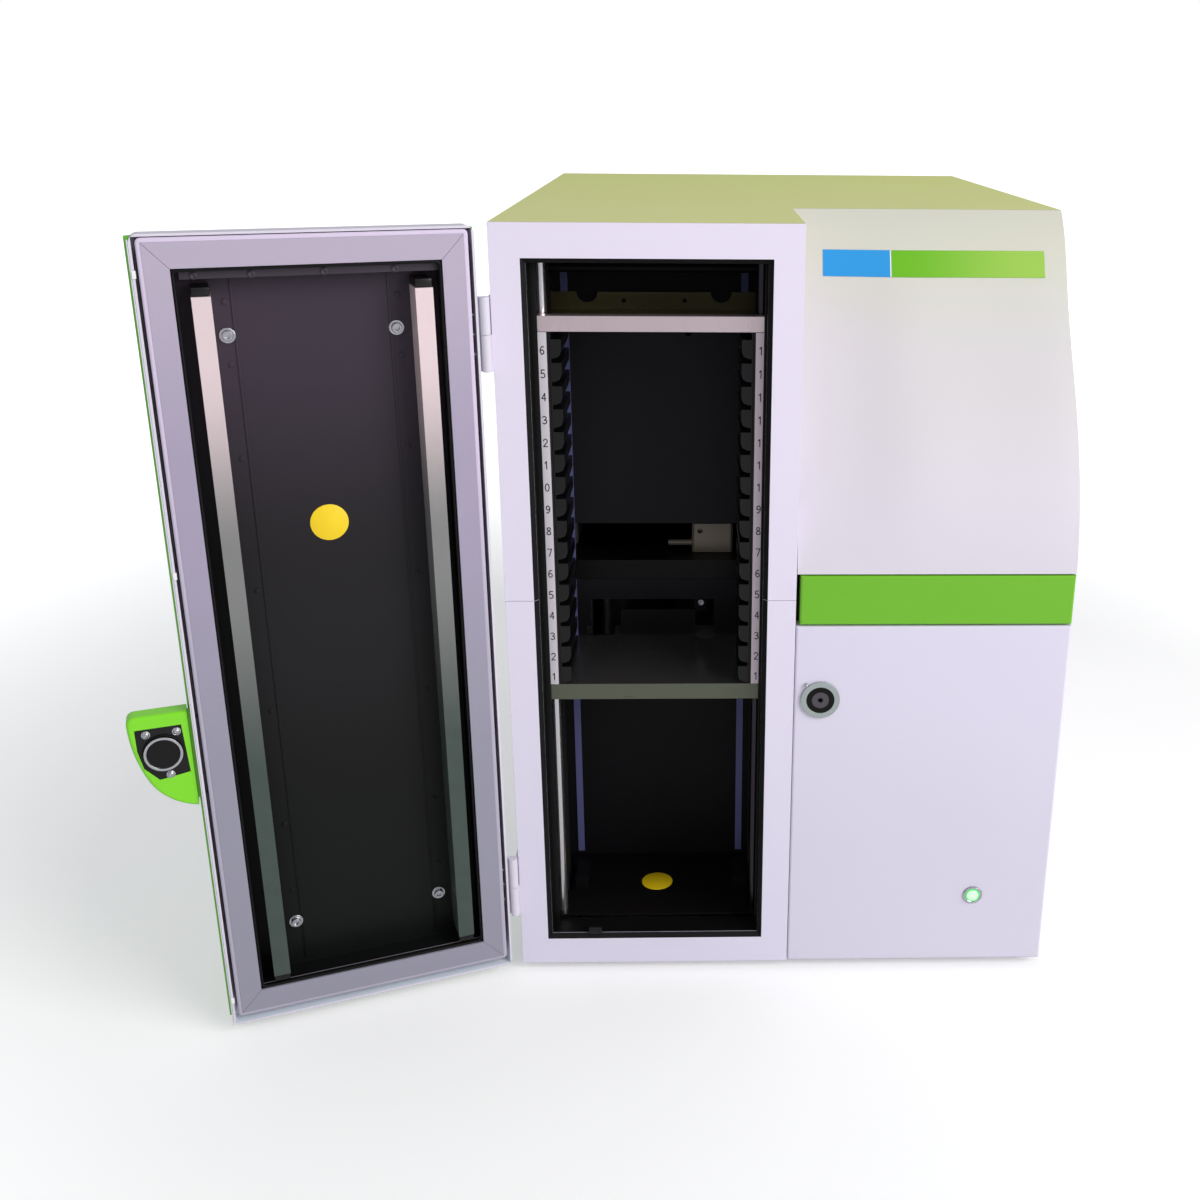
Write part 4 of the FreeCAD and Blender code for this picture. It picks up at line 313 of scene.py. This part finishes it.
shell = nodes["door_shell"].data
shell.materials.append(rim_white)
shell.materials.append(channel_painted_shade)
for face in shell.polygons:
    spots = [door_inverse @ shell.vertices[v].co for v in face.vertices]
    a = sum(s.x for s in spots) / len(spots) / MM
    z = sum(s.z for s in spots) / len(spots) / MM
    if beyond(INSIDE_RIM, a, z):
        face.material_index = 1
    elif beyond(INSIDE_CHANNEL, a, z):
        face.material_index = 2

# edges sharper than this angle stay crisp
CRISP = math.radians(35)


def finish_mesh(name, shape, material, body, place=cabinet_place):
    # a mesh drawn in millimetres becomes a piece of the object
    mesh = bpy.data.meshes.new(name)
    bmesh.ops.recalc_face_normals(shape, faces=shape.faces)
    shape.to_mesh(mesh)
    shape.free()
    mesh.transform(place @ Matrix.Scale(MM, 4))
    for face in mesh.polygons:
        face.use_smooth = True
    mesh.set_sharp_from_angle(angle=CRISP)
    made = bpy.data.objects.new(name, mesh)
    scene.collection.objects.link(made)
    mesh.materials.append(material)
    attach(made, body)


# the turn that takes +Z to each named direction
TOWARDS = {"x": Matrix.Rotation(math.pi / 2, 4, "Y"),
           "-x": Matrix.Rotation(-math.pi / 2, 4, "Y"),
           "y": Matrix.Rotation(-math.pi / 2, 4, "X"),
           "-y": Matrix.Rotation(math.pi / 2, 4, "X"),
           "z": Matrix.Identity(4)}


def lathe(shape, profile, centre, axis, steps):
    # turns a profile of (radius, height) points about an axis through the centre
    turn = Matrix.Translation(Vector(centre)) @ TOWARDS[axis]
    rings = []
    for radius, height in profile:
        if not radius:
            rings.append([shape.verts.new(turn @ Vector((0, 0, height)))])
            continue
        ring = []
        for step in range(steps):
            angle = 2 * math.pi * step / steps
            spot = Vector((radius * math.cos(angle), radius * math.sin(angle), height))
            ring.append(shape.verts.new(turn @ spot))
        rings.append(ring)
    for low, high in zip(rings, rings[1:]):
        for step in range(steps):
            after = (step + 1) % steps
            corners = [low[step % len(low)], low[after % len(low)],
                       high[after % len(high)], high[step % len(high)]]
            kept = list(dict.fromkeys(corners))
            if len(kept) > 2:
                shape.faces.new(kept)


def bar(shape, x, y, z, bevel):
    # a block with softened edges between the given sides
    outline = [(x[0], z[0]), (x[1], z[0]), (x[1], z[1]), (x[0], z[1])]
    part = bmesh.new()
    near = [part.verts.new((u, y[0], v)) for u, v in outline]
    far = [part.verts.new((u, y[1], v)) for u, v in outline]
    part.faces.new(near)
    part.faces.new(far[::-1])
    for order in range(len(outline)):
        after = (order + 1) % len(outline)
        part.faces.new([near[order], near[after], far[after], far[order]])
    bmesh.ops.bevel(part, geom=list(part.edges), offset=bevel, segments=2, profile=0.6,
                    affect="EDGES", clamp_overlap=True)
    mesh = bpy.data.meshes.new("part")
    part.to_mesh(mesh)
    part.free()
    shape.from_mesh(mesh)
    bpy.data.meshes.remove(mesh)


def rounded(outline, radius):
    # the outline with its corners rounded, each along no more than a share of its sides
    share = 0.45
    steps = 6
    made = []
    for order, corner in enumerate(outline):
        here = Vector(corner)
        before = Vector(outline[order - 1]) - here
        after = Vector(outline[(order + 1) % len(outline)]) - here
        reach = min(radius / math.tan(before.angle(after) / 2), before.length * share,
                    after.length * share)
        start = here + before.normalized() * reach
        stop = here + after.normalized() * reach
        for step in range(steps + 1):
            t = step / steps
            made.append(tuple((1 - t) ** 2 * start + 2 * t * (1 - t) * here + t * t * stop))
    return made


# heads of screws, as shares of their radius and height
SOCKET_HEAD = [(1, 0), (1, 0.72), (0.9, 1), (0.52, 1), (0.48, 0.35), (0, 0.3)]
PAN_HEAD = [(1, 0), (0.96, 0.4), (0.75, 0.8), (0.36, 1), (0.3, 0.45), (0, 0.4)]


def screw(shape, head, centre, axis, radius, height, steps):
    lathe(shape, [(r * radius, h * height) for r, h in head], centre, axis, steps)


def washer(shape, centre, axis, radius, bore, height):
    # a flat ring with a worn outer edge
    worn = 0.3
    lathe(shape, [(bore, 0), (radius, 0), (radius, height * 0.7), (radius - worn, height),
                  (bore, height), (bore, 0)], centre, axis, 24)


# on the door, drawn across from the hinge axis with +y into the closed cabinet
DOOR = {"body": "door", "place": door_place}
PAN_FLOOR = -27
heads = bmesh.new()
rings = bmesh.new()
for a, z in ((196, 612), (67, 611.5), (195, 80), (66.5, 80)):
    washer(rings, (a, PAN_FLOOR, z), "y", 6.2, 3.2, 1.0)
    screw(heads, SOCKET_HEAD, (a, PAN_FLOOR + 0.8, z), "y", 4.3, 3.4, 20)
for z in (231, 302):
    screw(heads, PAN_HEAD, (252.2, -14, z), "y", 2.2, 1.8, 18)
for z in (590, 606, 622, 72, 88, 104):
    lathe(heads, [(1.9, 0), (1.9, 3.2), (1.4, 3.8), (0, 3.8)], (7.5, -7, z), "x", 14)
finish_mesh("door_screw_heads", heads, screw_steel, **DOOR)
finish_mesh("door_screw_washers", rings, screw_steel, **DOOR)

# rivets of the top clamp strip, and two rows down the pan
clamp_rivets = bmesh.new()
for a in (215.5, 174.7, 121.5, 68):
    lathe(clamp_rivets, [(3.1, 0), (2.9, 0.5), (1.8, 0.9), (1.2, 0.5), (0, 0.4)],
          (a, -5, 661), "y", 20)
finish_mesh("clamp_rivets", clamp_rivets, clamp_dark, **DOOR)

rivets = bmesh.new()
for a in (64.5, 195.5):
    for z in (638, 589, 513, 400, 290, 180, 112):
        lathe(rivets, [(2.5, 0), (2.3, 0.5), (1.4, 0.8), (0, 0.9)], (a, PAN_FLOOR, z),
              "y", 16)
finish_mesh("pan_rivets", rivets, door_black, **DOOR)

# two folds run down the pan
folds = bmesh.new()
for a in (71.5, 190):
    bar(folds, (a - 0.9, a + 0.9), (-27.1, -26.2), (40, 664), 0.5)
finish_mesh("pan_folds", folds, door_black, **DOOR)


def loop_tube(shape, outline, section, radius):
    # a closed section of (outward, level) pairs, carried round a rounded outline
    path = rounded(outline, radius)
    centre = Vector((sum(p[0] for p in path) / len(path), sum(p[1] for p in path) / len(path)))
    rings = []
    for order, point in enumerate(path):
        here = Vector(point)
        following = Vector(path[(order + 1) % len(path)])
        tangent = (following - Vector(path[order - 1])).normalized()
        out = Vector((tangent.y, -tangent.x))
        if out.dot(here - centre) < 0:
            out = -out
        rings.append([shape.verts.new((here.x + out.x * u, v, here.y + out.y * u))
                      for u, v in section])
    for order, ring in enumerate(rings):
        following = rings[(order + 1) % len(rings)]
        for side in range(len(section)):
            after = (side + 1) % len(section)
            shape.faces.new([ring[side], ring[after], following[after], following[side]])


def ring_section(radius, level):
    # a round section for a tube
    steps = 8
    turns = [2 * math.pi * step / steps for step in range(steps)]
    return [(radius * math.cos(t), level + radius * math.sin(t)) for t in turns]


def door_loop(name, low, high, section, material, corner=4):
    # a tube round the door, between two corners
    made = bmesh.new()
    outline = [low, (high[0], low[1]), high, (low[0], high[1])]
    loop_tube(made, outline, section, corner)
    finish_mesh(name, made, material, **DOOR)


# the seals and edges that run round the door
door_loop("pan_mouth_seal", (33.4, 36.9), (229.6, 666.1), ring_section(1.3, 0.3), trim_black)
# painted highlight: a thin pale line round the pan's black mouth
door_loop("pan_edge", (32.6, 36.1), (230.2, 666.8), ring_section(0.45, -6), pan_edge_highlight, 2)
door_loop("channel_seal", (10.8, 10.8), (252, 689), ring_section(1.4, -12.4), rubber, 5)
door_loop("gasket_lip", (13.2, 15.2), (249.8, 687.8),
          [(-0.8, 0.8), (-0.8, 2.5), (0.8, 2.6), (1.9, 2.3), (2.5, 1.6), (2.6, 0.8)],
          gasket_lip, 1.5)

# a white edge stands between the rim and the green outer panel
edge = bmesh.new()
bar(edge, (257.05, 258.1), (-3.5, 0.8), (4.5, 689), 0.3)
finish_mesh("rim_edge", edge, rim_white, **DOOR)

# black caps close both ends of the pusher strips
ends = bmesh.new()
for left in (40.5, 205):
    bar(ends, (left + 0.4, left + 13.6), (-26.8, 1.6), (646.6, 653.2), 1.0)
    bar(ends, (left + 0.4, left + 13.6), (-26.8, 1.2), (40.2, 46.2), 1.0)
finish_mesh("strip_end_caps", ends, gloss_black, **DOOR)

# three white tabs on the rim's free side
tabs = bmesh.new()
for a, z in ((255.4, 664), (255.4, 430), (255.4, 30)):
    bar(tabs, (a - 1.2, a + 1.8), (0.9, 1.8), (z - 3, z + 3), 0.4)
finish_mesh("rim_tabs", tabs, plate_white, **DOOR)

# two plain round stickers
for name, centre, axis, where in (
        ("door_sticker", (133.2, PAN_FLOOR, 453), "y", DOOR),
        ("floor_sticker", (127.2, 85, 35), "z", {"body": "cabinet"})):
    disc = bmesh.new()
    lathe(disc, [(15.5, 0), (15.5, 0.15), (15.2, 0.3), (0, 0.3)], centre, axis, 56)
    finish_mesh(name, disc, yellow, **where)

# the handle's fasteners and the lock's mating cup
LATCH = (282.5, 0.2, 278)
grip = bmesh.new()
for a, z in ((293.9, 295.8), (270.6, 295.4), (279.2, 257.6)):
    washer(grip, (a, -3.4, z), "y", 3.5, 2.0, 0.5)
    screw(grip, PAN_HEAD, (a, -3.1, z), "y", 2.6, 1.4, 18)
finish_mesh("handle_screws", grip, screw_steel, **DOOR)
cup = bmesh.new()
lathe(cup, [(12.9, -0.9), (12.4, -0.45), (10.5, -0.7), (9.8, -0.75), (0, -0.6)],
      LATCH, "y", 40)
finish_mesh("armature_face", cup, rubber, **DOOR)
lining = bmesh.new()
lathe(lining, [(15.2, -3.3), (16.2, -3.3), (16.2, -2.4), (15.6, -2.1), (15.2, -2.4)],
      LATCH, "y", 44)
finish_mesh("armature_collar", lining, trim_black, **DOOR)

# the screws of the hinges' cabinet leaves
hinge_screws = bmesh.new()
for hinge in (606.2, 87.4):
    for rise in (-18, 0, 18):
        for y in (12, 22):
            lathe(hinge_screws, [(2.6, 0), (2.2, 0.7), (0.9, 1.0), (0, 0.6)],
                  (-2, y, hinge + rise), "-x", 14)
finish_mesh("cabinet_hinge_screws", hinge_screws, screw_steel, "cabinet")

# pale strips on both flanges of the magazine, for the numbers
magazine_plates = bmesh.new()
for left, right in ((30.2, 41.8), (216.2, 224.6)):
    bar(magazine_plates, (left, right), (19.7, 20.05), (284.8, 604.6), 0.1)
finish_mesh("number_strips", magazine_plates, number_grey, "magazine")

# the pen's way through each digit, in a box from 0 to 1
GLYPHS = {
    "0": [(0.5, 0), (0.15, 0.12), (0, 0.5), (0.15, 0.88), (0.5, 1), (0.85, 0.88), (1, 0.5),
          (0.85, 0.12), (0.5, 0)],
    "1": [(0.15, 0.78), (0.55, 1), (0.55, 0)],
    "2": [(0, 0.75), (0.2, 0.96), (0.55, 1), (0.9, 0.86), (0.92, 0.62), (0, 0), (1, 0)],
    "3": [(0, 0.86), (0.4, 1), (0.85, 0.88), (0.85, 0.62), (0.4, 0.52), (0.95, 0.4),
          (0.95, 0.14), (0.45, 0), (0, 0.12)],
    "4": [(0.75, 0), (0.75, 1), (0, 0.32), (1, 0.32)],
    "5": [(0.9, 1), (0.12, 1), (0.06, 0.55), (0.5, 0.62), (0.95, 0.42), (0.9, 0.12),
          (0.45, 0), (0, 0.1)],
    "6": [(0.9, 0.92), (0.5, 1), (0.1, 0.7), (0.02, 0.3), (0.4, 0), (0.85, 0.1), (0.95, 0.38),
          (0.6, 0.58), (0.08, 0.45)],
    "7": [(0, 1), (1, 1), (0.4, 0)],
    "8": [(0.5, 0.54), (0.12, 0.68), (0.14, 0.92), (0.5, 1), (0.86, 0.92), (0.88, 0.68),
          (0.5, 0.54), (0.02, 0.34), (0.08, 0.08), (0.5, 0), (0.92, 0.08), (0.98, 0.34),
          (0.5, 0.54)],
    "9": [(0.1, 0.06), (0.5, 0), (0.92, 0.34), (0.96, 0.75), (0.6, 1), (0.14, 0.9),
          (0.05, 0.62), (0.4, 0.42), (0.93, 0.56)],
}

# digits in millimetres: their height, width, gap and pen, and how far forward they lie
DIGIT_HEIGHT = 6.6
DIGIT_WIDTH = DIGIT_HEIGHT * 0.52
DIGIT_GAP = DIGIT_HEIGHT * 0.2
PEN = DIGIT_HEIGHT * 0.13
DIGIT_LEVEL = 19.66


def stroke(shape, points):
    # a flat pen line through the points, facing -y, that runs on a little past each end
    overrun = 0.6
    for start, stop in zip(points, points[1:]):
        first = Vector(start)
        last = Vector(stop)
        way = (last - first).normalized() * PEN * 0.5
        side = Vector((-way.y, way.x))
        first = first - way * overrun
        last = last + way * overrun
        corners = [first - side, last - side, last + side, first + side]
        shape.faces.new([shape.verts.new((c.x, DIGIT_LEVEL, c.y)) for c in corners])


def number(shape, text, x, z):
    # a number centred on a place of its strip
    left = x - (len(text) * DIGIT_WIDTH + (len(text) - 1) * DIGIT_GAP) / 2
    for order, digit in enumerate(text):
        if digit == " ":
            continue
        at = left + order * (DIGIT_WIDTH + DIGIT_GAP)
        stroke(shape, [(at + u * DIGIT_WIDTH, z + (v - 0.5) * DIGIT_HEIGHT)
                       for u, v in GLYPHS[digit]])


# the numbers run down from the top place, and the right strip shows their first digits
PLACES = 16
PITCH = 19.8
TOP_NUMBER = 589.4
magazine_digits = bmesh.new()
for order in range(PLACES):
    z = TOP_NUMBER - order * PITCH
    label = str(PLACES - order)
    number(magazine_digits, label.rjust(2), 35.6, z)
    number(magazine_digits, label[0], 220.7, z)
finish_mesh("number_strip_digits", magazine_digits, ink, "magazine")

# a black lip down each side of the opening covers the flanges' outer edges
lips = bmesh.new()
for left, right in ((28.8, 34.7), (223.0, 225.2)):
    bar(lips, (left, right), (18.0, 19.3), (31.2, 662.8), 0.3)
finish_mesh("opening_lips", lips, trim_black, "cabinet")

# the top plate's ends turn up beside its upstand
returns = bmesh.new()
for left in (32.3, 224.2):
    bar(returns, (left, left + 1.5), (96, 124.9), (605.2, 623.4), 0.3)
finish_mesh("top_plate_returns", returns, olive_sheet, "magazine")

# a small bracket with its screw at the back of the stacker bay, and a clip on its sill
bracket = bmesh.new()
bar(bracket, (165.5, 178), (139.6, 141.6), (309, 336), 0.4)
finish_mesh("lever_bracket", bracket, floor_black, "cabinet")
screws = bmesh.new()
screw(screws, SOCKET_HEAD, (171.9, 139.6, 318.4), "-y", 3.2, 2.0, 20)
finish_mesh("lever_screw", screws, screw_steel, "cabinet")
clip = bmesh.new()
bar(clip, (63.7, 76.3), (1.0, 6.2), (30.8, 38.4), 1.2)
bar(clip, (65.2, 74.8), (0.4, 1.4), (32.4, 36.6), 0.8)
finish_mesh("sill_clip", clip, gloss_black, "cabinet")

# the hood's surface, for resting thin plates on it, met from a place ahead of the cabinet
AHEAD = -0.45
hood = bmesh.new()
hood.from_mesh(nodes["hood_cover"].data)
hood_surface = BVHTree.FromBMesh(hood)
hood.free()


def hood_level(x, z):
    # where a line along +y through (x, z) meets the hood, in cabinet millimetres
    start = Vector((x * MM + CORNER[0], AHEAD, z * MM))
    spot = hood_surface.ray_cast(start, Vector((0, 1, 0)))[0]
    return spot.y / MM - CORNER[1] / MM


def plate_on_hood(name, x, z, material, lift=0.35):
    # a thin plate that follows the hood below it, with its rim sunk a little into it
    step = 4.0
    sunk = 0.1
    across = max(2, int((x[1] - x[0]) / step))
    up = max(2, int((z[1] - z[0]) / step))
    made = bmesh.new()
    grid = []
    for row in range(up + 1):
        line = []
        for column in range(across + 1):
            u = x[0] + (x[1] - x[0]) * column / across
            v = z[0] + (z[1] - z[0]) * row / up
            line.append(made.verts.new((u, hood_level(u, v) - lift, v)))
        grid.append(line)
    for row in range(up):
        for column in range(across):
            made.faces.new([grid[row][column], grid[row][column + 1],
                            grid[row + 1][column + 1], grid[row + 1][column]])
    rim = [edge for edge in made.edges if edge.is_boundary]
    wall = bmesh.ops.extrude_edge_only(made, edges=rim)["geom"]
    for piece in wall:
        if isinstance(piece, bmesh.types.BMVert):
            piece.co.y += lift + sunk
    finish_mesh(name, made, material, "cabinet")


plate_on_hood("hood_plate_backing", (281, 479.6), (639.2, 660.8), plate_white, lift=0.18)
plate_on_hood("hood_plate_blue", (280.6, 340.6), (638.8, 661.2), plate_blue)
plate_on_hood("hood_plate_green", (341.8, 480), (638.8, 661.2), plate_green)

# the power button's ring and its lit face
BUTTON_X = 430.2
BUTTON_Z = 72.1
ring = bmesh.new()
lathe(ring, [(6.6, -0.4), (9.2, -0.4), (9.4, 0.6), (8.8, 1.5), (7.2, 1.7), (6.7, 1.2),
             (6.6, -0.4)], (BUTTON_X, 0.0, BUTTON_Z), "-y", 40)
finish_mesh("button_ring", ring, polished, "cabinet")
lit_face = bmesh.new()
lathe(lit_face, [(5.4, 0), (4.9, 0.35), (3.6, 0.5), (0, 0.55)],
      (BUTTON_X, -1.5, BUTTON_Z), "-y", 32)
finish_mesh("button_face", lit_face, lit_core, "power_button")

# the world lights the object softly, and the camera sees it as white
world = bpy.data.worlds.new("world")
scene.world = world
world.use_nodes = True
sky = world.node_tree
sky.nodes.clear()
sky_rays = node(sky, "ShaderNodeLightPath")
seen = node(sky, "ShaderNodeMath", operation="MAXIMUM")
wire(sky, sky_rays.outputs["Is Camera Ray"], seen.inputs[0])
wire(sky, sky_rays.outputs["Is Transmission Ray"], seen.inputs[1])
lighting = node(sky, "ShaderNodeBackground", Color=(0.95, 0.97, 1.0, 1), Strength=0.50)
shown = node(sky, "ShaderNodeBackground", Color=(1, 1, 1, 1), Strength=1.0)
either = node(sky, "ShaderNodeMixShader")
wire(sky, seen.outputs[0], either.inputs[0])
wire(sky, lighting.outputs[0], either.inputs[1])
wire(sky, shown.outputs[0], either.inputs[2])
wire(sky, either.outputs[0], node(sky, "ShaderNodeOutputWorld").inputs[0])


def lamp(name, spot, size, watts, colour):
    # a soft area light that faces the front of the tower
    aim = Vector((-0.2, -0.3, 0.3))
    data = bpy.data.lights.new(name, "AREA")
    data.shape = "DISK"
    data.size = size
    data.energy = watts
    data.color = colour
    made = bpy.data.objects.new(name, data)
    scene.collection.objects.link(made)
    made.location = spot
    way = aim - Vector(spot)
    made.rotation_euler = way.to_track_quat("-Z", "Y").to_euler()


lamp("key", (2.6, -2.2, 1.9), size=2.6, watts=98, colour=(1.0, 0.99, 0.97))
lamp("fill", (-1.6, -2.4, 2.2), size=2.0, watts=6, colour=(0.97, 0.98, 1.0))

# the feet stand on a pale floor that glows more for the camera away from the object: each
# glow is a distance in metres and a strength
FLOOR_LEVEL = -0.008
FLOOR_REACH = 14.0
GLOW_NEAR = (0.75, 0.30)
GLOW_FAR = (1.9, 0.85)
floor_mesh = bpy.data.meshes.new("floor")
floor_corners = [(-1, -1), (1, -1), (1, 1), (-1, 1)]
floor_mesh.from_pydata([(x * FLOOR_REACH, y * FLOOR_REACH, FLOOR_LEVEL)
                        for x, y in floor_corners], [], [(0, 1, 2, 3)])
floor = bpy.data.objects.new("floor", floor_mesh)
scene.collection.objects.link(floor)
floor_finish = bpy.data.materials.new("floor")
floor_finish.use_nodes = True
ground = floor_finish.node_tree
ground.nodes.clear()
ground_rays = node(ground, "ShaderNodeLightPath")
matt = node(ground, "ShaderNodeBsdfDiffuse", Color=(0.80, 0.80, 0.80, 1))
glow = node(ground, "ShaderNodeEmission", Color=(1, 1, 1, 1))
glow_seen = node(ground, "ShaderNodeMath", operation="MULTIPLY")
from_middle = node(ground, "ShaderNodeTexCoord").outputs["Object"]
away = node(ground, "ShaderNodeVectorMath", operation="LENGTH")
wire(ground, from_middle, away.inputs[0])
spread = node(ground, "ShaderNodeMapRange")
spread.inputs["From Min"].default_value = GLOW_NEAR[0]
spread.inputs["From Max"].default_value = GLOW_FAR[0]
spread.inputs["To Min"].default_value = GLOW_NEAR[1]
spread.inputs["To Max"].default_value = GLOW_FAR[1]
wire(ground, away.outputs["Value"], spread.inputs["Value"])
wire(ground, spread.outputs["Result"], glow_seen.inputs[1])
wire(ground, ground_rays.outputs["Is Camera Ray"], glow_seen.inputs[0])
wire(ground, glow_seen.outputs[0], glow.inputs["Strength"])
both = node(ground, "ShaderNodeAddShader")
wire(ground, matt.outputs[0], both.inputs[0])
wire(ground, glow.outputs[0], both.inputs[1])
wire(ground, both.outputs[0], node(ground, "ShaderNodeOutputMaterial").inputs[0])
floor_mesh.materials.append(floor_finish)

# the camera as solved from the photograph: its place in metres and its turns in radians
EYE = (-0.089321, -1.431859, 0.791915)
PITCH_DOWN = -0.335
ROLL = -0.009
YAW = -0.031
turn = (Matrix.Rotation(YAW, 3, "Z") @ Matrix.Rotation(PITCH_DOWN, 3, "X")
        @ Matrix.Rotation(ROLL, 3, "Y"))
right, forward, up = turn.col
eye_data = bpy.data.cameras.new("camera")
eye_data.lens = 39.893
eye_data.sensor_width = 36
eye_data.shift_x = -0.1072
eye_data.shift_y = -0.0354
eye_data.clip_end = 60
eye = bpy.data.objects.new("camera", eye_data)
scene.collection.objects.link(eye)
basis = Matrix((right, up, -forward)).transposed().to_4x4()
eye.matrix_world = Matrix.Translation(Vector(EYE)) @ basis
scene.camera = eye

scene.view_settings.view_transform = "Standard"
